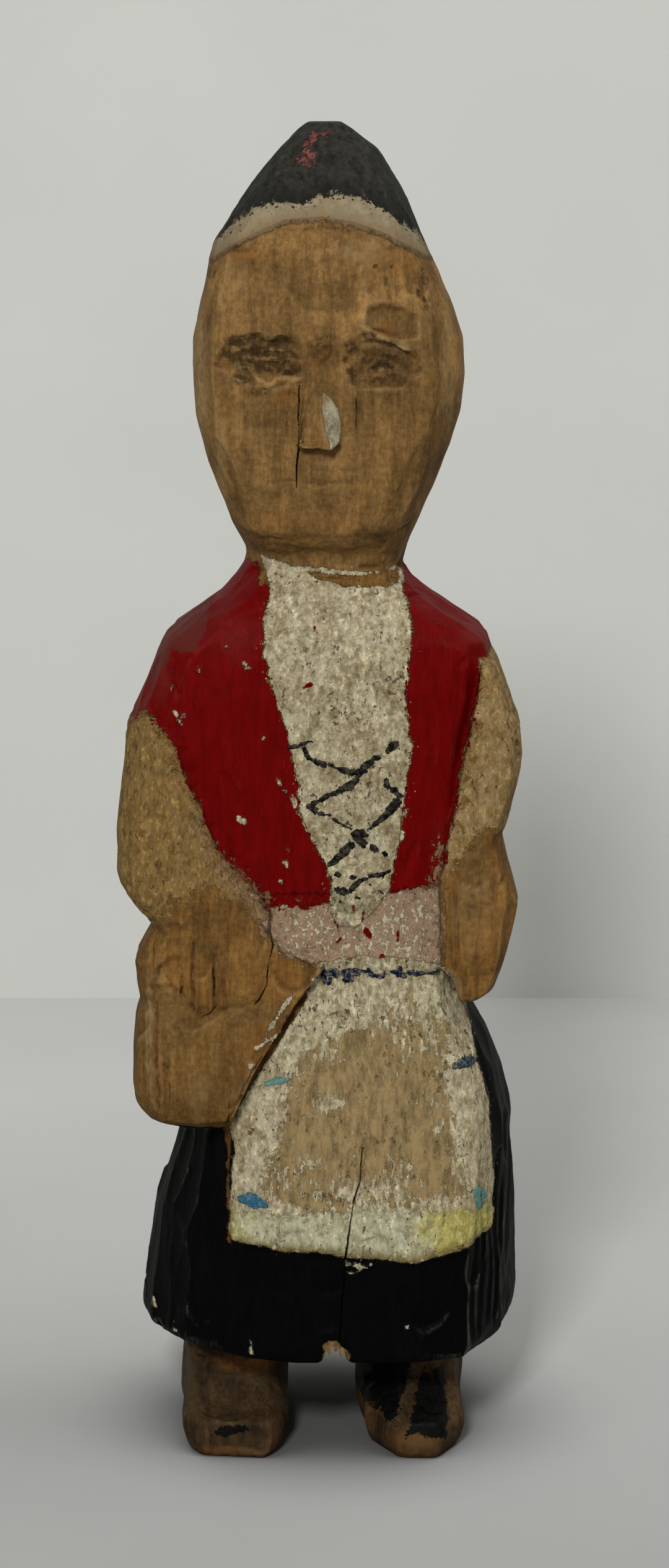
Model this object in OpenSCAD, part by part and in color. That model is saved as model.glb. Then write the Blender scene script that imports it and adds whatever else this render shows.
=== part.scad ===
// Whittled wooden figure in folk dress, split at its carved members and held by glued dowels
// It stands on z = 0, faces -y, and its right hand is on the -x side

/* [Heights] */
// Floor to the hem of the skirt
shoe_h = 12; // [10:0.5:18]
// Hem to the waist
skirt_h = 42; // [34:0.5:56]
// Waist to the neck
torso_h = 47.5; // [40:0.5:60]
// Neck to the tip of the cap
head_h = 48.5; // [40:0.5:60]

/* [Body] */
// Width over the sleeves
figure_w = 46; // [40:0.5:56]
// Depth of the chest
chest_d = 25; // [22:0.5:30]
// Width of the waist
waist_w = 31.6; // [27:0.2:36]
// Depth of the waist
waist_d = 24.4; // [22:0.2:30]
// Width of the skirt at the hem
hem_w = 44.4; // [38:0.2:50]
// Depth of the skirt at the hem
hem_d = 33; // [30:0.5:40]
// Width of the neck
neck_w = 17.7; // [14:0.1:20]
// Depth of the neck
neck_d = 17.8; // [14:0.2:20]

/* [Head] */
// Width of the head over the cheeks
head_w = 30.2; // [26:0.2:36]
// Depth of the head
head_d = 26; // [22:0.5:32]
// Height of the cap above its band, at the middle of the brow
cap_h = 7.4; // [6:0.1:9]
// Height of the band under the cap, at the middle of the brow
cap_band_h = 2.9; // [2:0.1:4]
// How far the cap leans back, in degrees
cap_tilt = 6; // [0:1:10]
// Length of the nose
nose_l = 6.8; // [5:0.1:9]
// Width of the nose at its foot
nose_w = 4.6; // [3:0.1:6]
// How far the nose stands out of the face
nose_proud = 2; // [1:0.1:3]
// Width of each gouged eye socket
socket_w = 8.4; // [6:0.1:10]
// Height of each gouged eye socket
socket_h = 5.2; // [4:0.1:7]
// Depth of each gouged eye socket
socket_deep = 0.9; // [0.4:0.1:1.4]
// Height of the cut between the lips
mouth_h = 0.8; // [0.4:0.1:1.5]

/* [Dress] */
// Height of the waistband at the middle of the body
band_h = 11.2; // [9:0.2:14]
// Tilt of the waistband's upper edge, in degrees
band_tilt = 8; // [0:1:10]
// How deep the blouse front is let into the vest
blouse_deep = 5.5; // [3:0.5:7]
// How deep the apron is let into the skirt
apron_deep = 3; // [2:0.5:5]
// How far the apron stands proud of the skirt
apron_proud = 0.4; // [0.2:0.1:1]
// Waist to the lower edge of the apron
apron_h = 29.5; // [25:0.5:33]
// Height of the coloured band along the apron's lower edge
apron_hem_h = 6.1; // [3:0.1:8]
// Width of one lacing stroke
lace_w = 0.9; // [0.5:0.1:1.5]
// How far lacing and stitches stand proud
stroke_proud = 0.3; // [0.2:0.1:0.6]
// Number of blue stitches along the apron's upper edge
stitch_count = 8; // [5:1:10]
// Height of one blue stitch
stitch_h = 0.9; // [0.5:0.1:1.5]
// How deep the right hand and the bag are let into the front of the body
hand_deep = 3.2; // [2:0.1:5]

/* [Bag] */
// Waist to the bottom of the bag in the right hand
bag_h = 14.8; // [12:0.2:18]
// How far the bag's face stands in front of the body's middle
bag_reach = 16.2; // [15:0.1:16.4]

/* [Feet] */
// Width of a shoe
foot_w = 12.8; // [10:0.1:14]
// Length of a shoe
foot_l = 23.5; // [20:0.5:28]
// How far the toes reach in front of the body's middle
toe_reach = 15.1; // [13:0.1:16.4]
// Gap between the shoes
foot_gap = 7.8; // [5:0.1:10]
// Height of a shoe at the ankle
ankle_h = 7.6; // [6:0.1:9]

/* [Dowels] */
// Diameter of the neck dowel
neck_peg_d = 6; // [4:0.5:8]
// Length of the neck dowel
neck_peg_l = 18; // [12:1:24]
// Diameter of the waist dowel
waist_peg_d = 8; // [6:0.5:10]
// Length of the waist dowel
waist_peg_l = 38; // [30:1:44]
// Diameter of the shoulder dowels
arm_peg_d = 4; // [3:0.5:5]
// Length of the shoulder dowels
arm_peg_l = 9; // [7:0.5:10]
// Diameter of the leg tenons
leg_peg_d = 7; // [5:0.5:8]
// Length of the leg tenons
leg_peg_l = 10; // [6:0.5:14]
// Radius left free between each dowel and its bore
peg_gap = 0.05; // [0.03:0.01:0.1]

/* [Hidden] */
$fn = 48;

// Levels of the hem, waist, neck and tip
hem_z = shoe_h;
waist_z = hem_z + skirt_h;
neck_z = waist_z + torso_h;
tip_z = neck_z + head_h;
cap_edge_z = tip_z - cap_h;
band_edge_z = cap_edge_z - cap_band_h;

// Half sizes that the share tables are stretched over
half_w = figure_w / 2;
half_head = [head_w / 2, head_d / 2];
half_neck = [neck_w / 2, neck_d / 2];
half_waist = [waist_w / 2, waist_d / 2];
half_chest = [half_w, chest_d / 2];
half_foot = [foot_w / 2, foot_l / 2];

// Overrun of cuts past the faces that they leave
cut = figure_w;

// Plans seen from above as shares of half the width and half the depth, front edge first
neck_plan_shares = [
    [-0.86, -0.55], [-0.66, -0.82], [-0.34, -1], [0.4, -1], [0.72, -0.82], [0.9, -0.52],
    [1, -0.05], [0.88, 0.55], [0.62, 0.86], [0.25, 1], [-0.25, 1], [-0.62, 0.86],
    [-0.88, 0.55], [-1, 0.12], [-0.99, -0.15], [-0.94, -0.35]
];
face_plan_shares = [
    [-0.97, -0.6], [-0.84, -0.93], [-0.5, -1], [0.55, -1], [0.77, -0.93], [0.95, -0.55],
    [1, -0.05], [0.93, 0.5], [0.66, 0.86], [0.26, 1], [-0.26, 1], [-0.66, 0.86],
    [-0.93, 0.5], [-1, 0.1], [-1, -0.15], [-0.99, -0.38]
];
chest_plan_shares = [
    [-0.95, -0.66], [-0.8, -0.94], [-0.45, -1], [0.5, -1], [0.82, -0.94], [0.96, -0.66],
    [1, -0.1], [0.97, 0.55], [0.8, 0.92], [0.4, 1], [-0.4, 1], [-0.8, 0.92],
    [-0.97, 0.55], [-1, 0.1], [-1, -0.25], [-0.98, -0.48]
];
hem_plan_shares = [
    [-0.75, -0.6], [-0.44, -0.9], [-0.16, -1], [0.42, -1], [0.72, -0.9], [0.91, -0.4],
    [1, 0.18], [0.92, 0.62], [0.64, 0.92], [0.22, 1], [-0.32, 1], [-0.7, 0.86],
    [-0.93, 0.52], [-1, 0.12], [-0.94, -0.22], [-0.85, -0.42]
];
right_shoe_plan_shares = [
    [-0.78, -0.76], [-0.58, -0.93], [0.64, -1], [0.84, -0.8], [0.98, -0.45], [1, 0.6],
    [0.86, 0.9], [0.5, 1], [-0.5, 1], [-0.86, 0.9], [-1, 0.6], [-0.98, 0.1]
];
left_shoe_plan_shares = [
    [-0.72, -0.56], [-0.24, -0.98], [0, -1], [0.46, -1], [0.83, -0.62], [1, 0.1],
    [1, 0.6], [0.86, 0.9], [0.5, 1], [-0.5, 1], [-0.86, 0.9], [-1, 0.6], [-1, 0]
];

// Rings of the head: height, left, right, front, back, and how far the plan is the face's
head_ring_shares = [
    [0.035, -0.56, 0.64, -0.69, 0.69, 0.15], [0.065, -0.6, 0.67, -0.81, 0.74, 0.35],
    [0.1, -0.66, 0.72, -0.92, 0.8, 0.6], [0.18, -0.76, 0.83, -0.985, 0.89, 0.85],
    [0.265, -0.855, 0.945, -1, 0.96, 1], [0.35, -0.92, 1.03, -1, 1, 1],
    [0.435, -0.94, 1.06, -1, 1, 1], [0.52, -0.93, 1.045, -1, 0.99, 1],
    [0.61, -0.875, 0.945, -0.975, 0.96, 1], [0.7, -0.81, 0.82, -0.915, 0.89, 0.9],
    [0.735, -0.78, 0.765, -0.87, 0.85, 0.8], [0.8, -0.645, 0.68, -0.76, 0.73, 0.6],
    [0.865, -0.5, 0.57, -0.61, 0.59, 0.45], [0.94, -0.31, 0.42, -0.38, 0.38, 0.3],
    [0.985, -0.155, 0.22, -0.2, 0.2, 0.3], [1, -0.09, 0.15, -0.12, 0.12, 0.3]
];
// The neck's outline is a little to the left of the middle
neck_edge_shares = [-0.96, 1.04, -1, 1];
waist_edge_shares = [-1.005, 1, -1.015, 0.93];
// Rings of the torso: height, left, right, front, back, and how far the plan is the chest's
torso_ring_shares = [
    [0.125, -0.68, 0.68, -0.98, 0.89, 1], [0.25, -0.705, 0.705, -0.98, 0.9, 1],
    [0.42, -0.77, 0.74, -0.985, 0.92, 1], [0.55, -0.87, 0.77, -0.99, 0.935, 1],
    [0.625, -0.945, 0.8, -0.99, 0.935, 1], [0.71, -0.87, 0.83, -0.99, 0.925, 1],
    [0.79, -0.8, 0.84, -0.975, 0.9, 1], [0.835, -0.75, 0.81, -0.95, 0.865, 1],
    [0.89, -0.595, 0.645, -0.895, 0.815, 0.9], [0.93, -0.485, 0.53, -0.83, 0.77, 0.6],
    [0.966, -0.415, 0.445, -0.77, 0.73, 0.3]
];
// Rings of the skirt: height, then how far each side and the plan have gone from waist to hem
skirt_ring_shares = [
    [0, 0.86, 0.88, 0.9, 0.9, 1], [0.02, 0.99, 0.97, 1, 1, 1],
    [0.076, 0.94, 1, 0.97, 0.98, 1], [0.226, 0.78, 0.985, 0.88, 0.9, 0.95],
    [0.348, 0.65, 0.96, 0.78, 0.8, 0.85], [0.433, 0.45, 0.92, 0.71, 0.72, 0.75],
    [0.5, 0.25, 0.9, 0.63, 0.64, 0.65], [0.63, 0, 0.86, 0.49, 0.5, 0.5],
    [0.738, -0.02, 0.71, 0.37, 0.38, 0.38], [0.826, -0.04, 0.51, 0.27, 0.27, 0.27],
    [0.905, -0.04, 0.25, 0.15, 0.15, 0.15]
];
// Rings of the block that each arm is carved from: height, left, right, front, back
right_arm_ring_shares = [
    [-0.06, -0.88, 0.1, -1.2, 0.02], [-0.02, -0.887, 0.1, -1.2, 0.04],
    [0.04, -0.905, 0.1, -1.2, 0.06], [0.084, -0.913, 0.1, -1.18, 0.06],
    [0.16, -0.817, 0.1, -1.14, 0.08], [0.213, -0.917, 0.1, -1.13, 0.16],
    [0.257, -0.983, 0.1, -1.12, 0.26], [0.286, -1, 0.1, -1.11, 0.31],
    [0.39, -1, 0.1, -1.09, 0.38], [0.463, -0.983, 0.1, -1.06, 0.4],
    [0.547, -0.962, 0.1, -1.04, 0.4], [0.632, -0.95, 0.1, -1, 0.34],
    [0.705, -0.885, 0.1, -0.94, 0.2]
];
left_arm_ring_shares = [
    [-0.016, 0.3, 0.765, -1.035, -0.12], [0.012, 0.3, 0.848, -1.08, 0],
    [0.065, 0.3, 0.89, -1.1, 0.06], [0.14, 0.3, 0.935, -1.12, 0.08],
    [0.219, 0.3, 0.965, -1.12, 0.1], [0.31, 0.3, 0.913, -1.09, 0.12],
    [0.377, 0.3, 0.883, -1.04, 0.16], [0.438, 0.3, 0.926, -1.05, 0.26],
    [0.53, 0.3, 0.974, -1.05, 0.34], [0.58, 0.3, 0.983, -1.04, 0.36],
    [0.638, 0.3, 0.97, -1.03, 0.36], [0.72, 0.3, 0.91, -1, 0.32],
    [0.796, 0.3, 0.85, -0.93, 0.2]
];
// Rings of the bag, downwards from the waist: drop, left, right, front, back
bag_ring_shares = [
    [1.02, -0.76, 0.1, -0.82, -0.14], [0.95, -0.86, 0.1, -0.93, -0.06],
    [0.84, -0.91, 0.1, -0.98, 0], [0.73, -0.926, 0.1, -1, 0.05],
    [0.47, -0.922, 0.1, -1, 0.08], [0.17, -0.913, 0.1, -0.975, 0.08],
    [0.07, -0.887, 0.1, -0.94, 0.04], [-0.2, -0.9, 0.1, -0.92, 0.04]
];
// Rings of a shoe and of a leg: height, left, right, front, back
shoe_ring_shares = [
    [0, -0.78, 0.8, -0.96, 0.94], [0.1, -0.87, 0.9, -1, 0.98],
    [0.33, -0.96, 0.98, -1, 1], [0.55, -1, 1, -0.96, 1],
    [0.79, -0.98, 1, -0.64, 0.99], [1, -0.94, 0.98, -0.46, 0.97]
];
leg_ring_shares = [
    [0, -0.94, 0.98, -0.46, 0.97], [0.5, -1, 1, -0.5, 1], [1, -1.08, 1.02, -0.54, 1]
];
// Rings of the nose: height, left, right, front
nose_ring_shares = [
    [0, -0.46, 0.26, -0.6], [0.1, -0.52, 0.48, -0.98], [0.5, -0.42, 0.44, -0.66],
    [0.9, -0.28, 0.12, -0.24], [1, -0.2, -0.04, -0.08]
];

// Outlines seen from the front, in shares of half the figure's width and of the torso's height
vest_opening_left_shares = [
    [-0.26, 1.02], [-0.24, 0.965], [-0.274, 0.885], [-0.265, 0.82], [-0.235, 0.74],
    [-0.15, 0.615], [-0.113, 0.49], [-0.048, 0.38], [0.03, 0.31], [0.056, 0.24]
];
vest_opening_right_shares = [
    [0.335, 0.24], [0.357, 0.33], [0.39, 0.43], [0.435, 0.6], [0.405, 0.7],
    [0.44, 0.885], [0.395, 0.96], [0.395, 1.02]
];
right_armhole_shares = [
    [-0.26, 0.155], [-0.243, 0.22], [-0.3, 0.247], [-0.36, 0.29], [-0.475, 0.34],
    [-0.545, 0.405], [-0.587, 0.47], [-0.657, 0.535], [-0.7, 0.6], [-0.787, 0.655],
    [-0.843, 0.678], [-0.945, 0.635]
];
right_cuff_shares = [
    [-0.81, 0.165], [-0.7, 0.235], [-0.53, 0.272], [-0.38, 0.237], [-0.26, 0.155]
];
right_knuckle_shares = [
    [-0.26, 0.005], [-0.37, -0.012], [-0.565, -0.04], [-0.68, -0.008]
];
left_armhole_shares = [
    [0.817, 0.802], [0.757, 0.802], [0.765, 0.766], [0.74, 0.697], [0.709, 0.627],
    [0.67, 0.535], [0.652, 0.465], [0.617, 0.404], [0.596, 0.324], [0.57, 0.295]
];
left_cuff_shares = [
    [0.57, 0.295], [0.652, 0.318], [0.726, 0.385], [0.783, 0.408], [0.878, 0.39]
];
left_palm_shares = [
    [0.583, 0.08], [0.643, 0.055], [0.674, -0.01]
];
apron_top_shares = [0.013, 0.08];
// The bag's inner edge is the apron's upper left edge, in shares of the bag's height
bag_edge_shares = [
    [-0.13, 0.04], [-0.23, 0.285], [-0.317, 0.515], [-0.4, 0.79], [-0.46, 1.03]
];
// The rest of the apron's left edge, in shares of what is left of its height
apron_left_shares = [
    [-0.426, 0.21], [-0.448, 0.42], [-0.452, 0.83], [-0.443, 0.96]
];
apron_foot_shares = [
    [-0.32, 0.956], [-0.02, 0.973], [0.25, 1], [0.47, 1.015], [0.66, 0.985], [0.87, 0.95]
];
apron_right_shares = [
    [0.86, 0.76], [0.84, 0.585], [0.826, 0.43], [0.76, 0.257], [0.74, 0.15]
];

// Lacing strokes: both ends in shares of half the figure's width and of the torso's height
lace_shares = [
    [-0.143, 0.6, -0.052, 0.615], [-0.08, 0.59, 0.04, 0.555], [0.04, 0.555, 0.2, 0.547],
    [0.35, 0.61, 0.217, 0.55], [0.217, 0.55, 0.04, 0.485], [0.04, 0.485, -0.048, 0.463],
    [-0.048, 0.463, 0.065, 0.43], [0.065, 0.43, 0.174, 0.396], [0.378, 0.487, 0.31, 0.52],
    [0.36, 0.47, 0.24, 0.41], [0.24, 0.41, 0.11, 0.35], [0.11, 0.35, 0.04, 0.318],
    [0.31, 0.3, 0.15, 0.26], [0.22, 0.268, 0.3, 0.25]
];
// Blue marks on the apron's border: middle and length in shares, the drop of the apron's height
mark_shares = [
    [-0.21, 0.3, 0.1], [0.7, 0.243, 0.12], [-0.32, 0.77, 0.11], [0.77, 0.775, 0.07]
];
// Ends and level of the row of stitches, and how much of each step a stitch fills
stitch_span_shares = [-0.01, 0.56, 0.06];
stitch_fill_share = 0.7;
// Where the outside of each sleeve ends at the shoulder, in shares of the torso's height
sleeve_top_shares = [0.635, 0.802];

// Places of the carved face, in shares of half the head's width and of the head's height
socket_shares = [[-0.43, 0.472], [0.43, 0.472]];
mouth_shares = [-0.07, 0.214];
mouth_w_share = 0.28;
nose_shares = [-0.007, 0.288];

// Radii of the arcs that the two edges of the cap band follow, and how far down each arc is used
arc_shares = [0.603, 0.494];
band_r = head_w * arc_shares[0];
cap_r = head_w * arc_shares[1];
arc_low_share = 0.45;
// The arcs tilt about a line in the brow's surface
brow_share = 0.38;
brow_y = -head_d * brow_share;

// Side, place and depth of the torn notch in the middle of the hem
notch_shares = [0.33, 0.2, 0.25];
notch_w = foot_gap * notch_shares[0];
notch_x = foot_gap * notch_shares[1];
notch_d = hem_d * notch_shares[2];

// Places of the shoulder dowels, and how much of the waist dowel is below the waist
arm_peg_shares = [[-0.67, -0.33, 0.55], [0.68, -0.33, 0.55]];
right_arm_peg_at = arm_peg_place(arm_peg_shares[0]);
left_arm_peg_at = arm_peg_place(arm_peg_shares[1]);
waist_peg_low_share = 0.36;
waist_peg_z = waist_z - waist_peg_l * waist_peg_low_share;
foot_mid_y = foot_l / 2 - toe_reach;

// Right of core_x the hand and the bag are let in no deeper than relief_y
core_share = 0.32;
core_x = -half_w * core_share;
relief_y = hand_deep - half_waist[1];

// How far one pocket in the body laps over the next, so that no wall is left between them
seam_lap = 0.1;

function between(a, b, share) = a + (b - a) * share;
function scaled_ring(s, z, half) =
    [z, s[0] * half[0], s[1] * half[0], s[2] * half[1], s[3] * half[1]];
function ring_of(s, z, h, half) =
    [z + s[0] * h, s[1] * half[0], s[2] * half[0], s[3] * half[1], s[4] * half[1]];
function plan_between(a, b, share) =
    [for (i = [0 : len(a) - 1]) between(a[i], b[i], share)];
function placed_plan(plan, ring) = [for (p = plan) [
    between(ring[1], ring[2], (p[0] + 1) / 2),
    between(ring[3], ring[4], (p[1] + 1) / 2),
    ring[0]
]];
function front_outline(shares, z, h) = [for (s = shares) [s[0] * half_w, z + s[1] * h]];
function flipped(list) = [for (i = [len(list) - 1 : -1 : 0]) list[i]];
function moved(points, x, z) = [for (p = points) [p[0] + x, p[1] + z]];
function arm_peg_place(s) =
    [s[0] * half_w, s[1] * half_chest[1], waist_z + s[2] * torso_h];
function leg_x(side) = side * (foot_gap + foot_w) / 2;

neck_ring = scaled_ring(neck_edge_shares, neck_z, half_neck);
waist_ring = scaled_ring(waist_edge_shares, waist_z, half_waist);
// The right edge of the hem lines up with the outside of the sleeves
hem_ring = [hem_z, half_w - hem_w, half_w, -hem_d / 2, hem_d / 2];

// A closed block through a list of rings, given as one placed plan each, lowest first
module loft(rings) {
    n = len(rings[0]);
    last = (len(rings) - 1) * n;
    sides = [for (i = [0 : len(rings) - 2], j = [0 : n - 1])
        let (a = i * n + j, b = i * n + (j + 1) % n)
        each [[a, a + n, b], [b, a + n, b + n]]];
    ends = [for (j = [1 : n - 2]) each [[0, j, j + 1], [last, last + j + 1, last + j]]];
    polyhedron([for (ring = rings) each ring], concat(sides, ends), convexity = 4);
}

// A prism through the figure from front to back with an outline seen from the front
module front_prism(outline, back) {
    translate([0, back, 0]) rotate([90, 0, 0]) linear_extrude(back + cut) polygon(outline);
}

// The same prism for a hand or bag, which is deep only outside the core that holds the dowel
module relief_prism(outline) {
    front_prism(outline, relief_y);
    difference() {
        front_prism(outline, cut);
        translate([core_x, -2 * cut, 0]) cube([2 * cut, 4 * cut, tip_z]);
    }
}

module head_block() {
    loft(concat(
        [placed_plan(neck_plan_shares, neck_ring)],
        [for (s = head_ring_shares) placed_plan(
            plan_between(neck_plan_shares, face_plan_shares, s[5]),
            ring_of(s, neck_z, head_h, half_head))]
    ));
}

module torso_block() {
    loft(concat(
        [placed_plan(chest_plan_shares, waist_ring)],
        [for (s = torso_ring_shares) placed_plan(
            plan_between(neck_plan_shares, chest_plan_shares, s[5]),
            ring_of(s, waist_z, torso_h, half_chest))],
        [placed_plan(neck_plan_shares, neck_ring)]
    ));
}

module skirt_block() {
    loft(concat(
        [for (s = skirt_ring_shares) placed_plan(
            plan_between(chest_plan_shares, hem_plan_shares, s[5]),
            [hem_z + s[0] * skirt_h, for (k = [1 : 4]) between(waist_ring[k], hem_ring[k], s[k])])],
        [placed_plan(chest_plan_shares, waist_ring)]
    ));
}

module body_block() {
    torso_block();
    skirt_block();
}

// Everything above an arc of radius r that crosses the brow at height z
module above_arc(r, z) {
    translate([0, brow_y, z]) rotate([-cap_tilt, 0, 0]) translate([0, 0, -r])
        difference() {
            translate([-cut, -cut, r * arc_low_share]) cube([2 * cut, 2 * cut, head_h]);
            rotate([90, 0, 0]) cylinder(h = 4 * cut, r = r, center = true);
        }
}

// Everything below the tilted upper edge of the waistband
module below_band() {
    translate([0, 0, waist_z + band_h]) rotate([0, -band_tilt, 0])
        translate([-cut, -cut, -cut]) cube([2 * cut, 2 * cut, cut]);
}

module bore(d, l) {
    cylinder(h = l, r = d / 2 + peg_gap, center = true);
}

module neck_bore() {
    translate([0, 0, neck_z]) bore(neck_peg_d, neck_peg_l);
}

module waist_bore() {
    translate([0, 0, waist_peg_z + waist_peg_l / 2]) bore(waist_peg_d, waist_peg_l);
}

module arm_bore(place) {
    translate(place) rotate([0, 90, 0]) bore(arm_peg_d, arm_peg_l);
}

module arm_peg(place) {
    translate(place) rotate([0, 90, 0]) cylinder(h = arm_peg_l, d = arm_peg_d, center = true);
}

// A place on the front of the face, in shares of half the head's width and of its height
module on_face(s) {
    translate([s[0] * half_head[0], -half_head[1], neck_z + s[1] * head_h]) children();
}

// An almond-shaped gouge cut w long, h high and deep into the face at its middle
module gouge(w, h, deep) {
    r = (h * h / 4 + deep * deep) / (2 * deep);
    long_r = (w * w / 4 + deep * deep) / (2 * deep);
    translate([0, deep - r, 0]) rotate([0, 90, 0]) rotate_extrude()
        intersection() {
            translate([r - long_r, 0]) circle(long_r, $fn = 180);
            translate([0, -w]) square([r, 2 * w]);
        }
}

// Outlines of the sleeves, hands, bag and apron seen from the front
right_cuff = front_outline(right_cuff_shares, waist_z, torso_h);
left_cuff = front_outline(left_cuff_shares, waist_z, torso_h);
apron_top = [apron_top_shares[0] * half_w, waist_z + apron_top_shares[1] * torso_h];
bag_edge = front_outline(bag_edge_shares, waist_z, -bag_h);
left_palm = front_outline(left_palm_shares, waist_z, torso_h);
function right_sleeve_outline(lap) = concat(
    moved(flipped(right_cuff), 0, -lap),
    [[-cut, right_cuff[0][1] - lap], [-cut, waist_z + sleeve_top_shares[0] * torso_h]],
    flipped(front_outline(right_armhole_shares, waist_z, torso_h))
);
right_hand_outline = concat(
    right_cuff,
    [apron_top, bag_edge[0]],
    front_outline(right_knuckle_shares, waist_z, torso_h),
    [[-cut, waist_z], [-cut, right_cuff[0][1]]]
);
function bag_outline(lap) = concat(
    moved(flipped(front_outline(right_knuckle_shares, waist_z, torso_h)), 0, lap),
    bag_edge,
    [[bag_edge[4][0], waist_z - cut], [-cut, waist_z - cut], [-cut, waist_z + lap]]
);
function left_sleeve_outline(lap) = concat(
    front_outline(left_armhole_shares, waist_z, torso_h),
    moved(left_cuff, 0, -lap),
    [[cut, left_cuff[4][1] - lap], [cut, waist_z + sleeve_top_shares[1] * torso_h]]
);
left_hand_outline = concat(
    flipped(left_cuff),
    left_palm,
    [[cut, left_palm[2][1]], [cut, left_cuff[4][1]]]
);
function apron_outline(lap) = concat(
    [apron_top],
    moved(bag_edge, -lap, 0),
    front_outline(apron_left_shares, waist_z - bag_h, bag_h - apron_h),
    front_outline(apron_foot_shares, waist_z, -apron_h),
    front_outline(apron_right_shares, waist_z, -apron_h),
    moved(flipped(left_palm), lap, 0)
);
blouse_outline = concat(
    front_outline(vest_opening_left_shares, waist_z, torso_h),
    front_outline(vest_opening_right_shares, waist_z, torso_h)
);

module arm_block(ring_shares) {
    loft([for (s = ring_shares) placed_plan(
        chest_plan_shares, ring_of(s, waist_z, torso_h, half_chest))]);
}

module right_sleeve_form(lap) {
    intersection() {
        arm_block(right_arm_ring_shares);
        front_prism(right_sleeve_outline(lap), cut);
    }
}

module right_hand_form() {
    intersection() {
        arm_block(right_arm_ring_shares);
        relief_prism(right_hand_outline);
    }
}

module left_sleeve_form(lap) {
    intersection() {
        arm_block(left_arm_ring_shares);
        front_prism(left_sleeve_outline(lap), cut);
    }
}

module left_hand_form() {
    intersection() {
        arm_block(left_arm_ring_shares);
        front_prism(left_hand_outline, cut);
    }
}

module bag_form(lap) {
    intersection() {
        loft([for (s = bag_ring_shares) placed_plan(
            chest_plan_shares, ring_of(s, waist_z, -bag_h, [half_w, bag_reach]))]);
        relief_prism(bag_outline(lap));
    }
}

module apron_form(proud) {
    intersection() {
        union() {
            body_block();
            translate([0, -proud, 0]) body_block();
        }
        front_prism(apron_outline(0), apron_deep - half_waist[1]);
    }
}

module apron_pocket() {
    front_prism(apron_outline(seam_lap), apron_deep - half_waist[1]);
}

module blouse_pocket() {
    front_prism(blouse_outline, blouse_deep - half_chest[1]);
}

// A flat stroke seen from the front, from one place to another
module stroke(a, b, w) {
    translate([a[0], a[1]]) rotate(atan2(b[1] - a[1], b[0] - a[0]))
        translate([-w / 2, -w / 2]) square([norm(b - a) + w, w]);
}

module cap() {
    color("#2f2e28") intersection() {
        head_block();
        above_arc(cap_r, cap_edge_z);
    }
}

module cap_band() {
    color("#948468") difference() {
        intersection() {
            head_block();
            above_arc(band_r, band_edge_z);
        }
        above_arc(cap_r, cap_edge_z);
    }
}

module head() {
    color("#7a5a32") difference() {
        head_block();
        above_arc(band_r, band_edge_z);
        neck_bore();
        for (s = socket_shares) on_face(s) gouge(socket_w, socket_h, socket_deep);
        on_face(mouth_shares) gouge(mouth_w_share * head_w, mouth_h, mouth_h / 2);
    }
}

module nose() {
    color("#8a7248") on_face(nose_shares)
        loft([for (s = nose_ring_shares) [
            [s[1] * nose_w, 0, s[0] * nose_l], [s[1] * nose_w, s[3] * nose_proud, s[0] * nose_l],
            [s[2] * nose_w, s[3] * nose_proud, s[0] * nose_l], [s[2] * nose_w, 0, s[0] * nose_l]
        ]]);
}

module neck_peg() {
    color("#c8a878") translate([0, 0, neck_z])
        cylinder(h = neck_peg_l, d = neck_peg_d, center = true);
}

module vest() {
    color("#6a1010") difference() {
        torso_block();
        below_band();
        blouse_pocket();
        right_sleeve_form(seam_lap);
        left_sleeve_form(seam_lap);
        right_hand_form();
        left_hand_form();
        neck_bore();
        waist_bore();
        arm_bore(right_arm_peg_at);
        arm_bore(left_arm_peg_at);
    }
}

module blouse() {
    color("#a89e84") difference() {
        intersection() {
            torso_block();
            blouse_pocket();
        }
        below_band();
    }
}

module lacing() {
    color("#1c1a18") difference() {
        intersection() {
            translate([0, -stroke_proud, 0]) torso_block();
            rotate([90, 0, 0]) linear_extrude(cut) for (s = lace_shares)
                stroke([s[0] * half_w, waist_z + s[1] * torso_h],
                    [s[2] * half_w, waist_z + s[3] * torso_h], lace_w);
        }
        torso_block();
    }
}

module right_sleeve() {
    color("#7b6747") difference() {
        right_sleeve_form(0);
        arm_bore(right_arm_peg_at);
    }
}

module left_sleeve() {
    color("#7b6747") difference() {
        left_sleeve_form(0);
        arm_bore(left_arm_peg_at);
    }
}

module right_hand() {
    color("#6a4c25") right_hand_form();
}

module left_hand() {
    color("#72532c") left_hand_form();
}

module bag() {
    color("#70522a") difference() {
        bag_form(0);
        right_hand_form();
    }
}

module right_arm_peg() {
    color("#c8a878") arm_peg(right_arm_peg_at);
}

module left_arm_peg() {
    color("#c8a878") arm_peg(left_arm_peg_at);
}

module waistband() {
    color("#8f8068") difference() {
        intersection() {
            torso_block();
            below_band();
        }
        right_sleeve_form(seam_lap);
        right_hand_form();
        left_hand_form();
        apron_pocket();
        waist_bore();
    }
}

module waist_peg() {
    color("#c8a878") translate([0, 0, waist_peg_z]) cylinder(h = waist_peg_l, d = waist_peg_d);
}

module skirt() {
    color("#141414") difference() {
        skirt_block();
        bag_form(seam_lap);
        right_hand_form();
        left_hand_form();
        apron_pocket();
        waist_bore();
        for (side = [-1, 1])
            translate([leg_x(side), foot_mid_y, hem_z]) bore(leg_peg_d, 2 * leg_peg_l);
        translate([notch_x, -hem_d / 2, hem_z])
            rotate([0, 45, 0]) cube([notch_w, notch_d, notch_w], center = true);
    }
}

module apron() {
    color("#a2977c") difference() {
        apron_form(apron_proud);
        translate([-cut, -cut, waist_z - apron_h - cut])
            cube([2 * cut, 2 * cut, cut + apron_hem_h]);
    }
}

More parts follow.
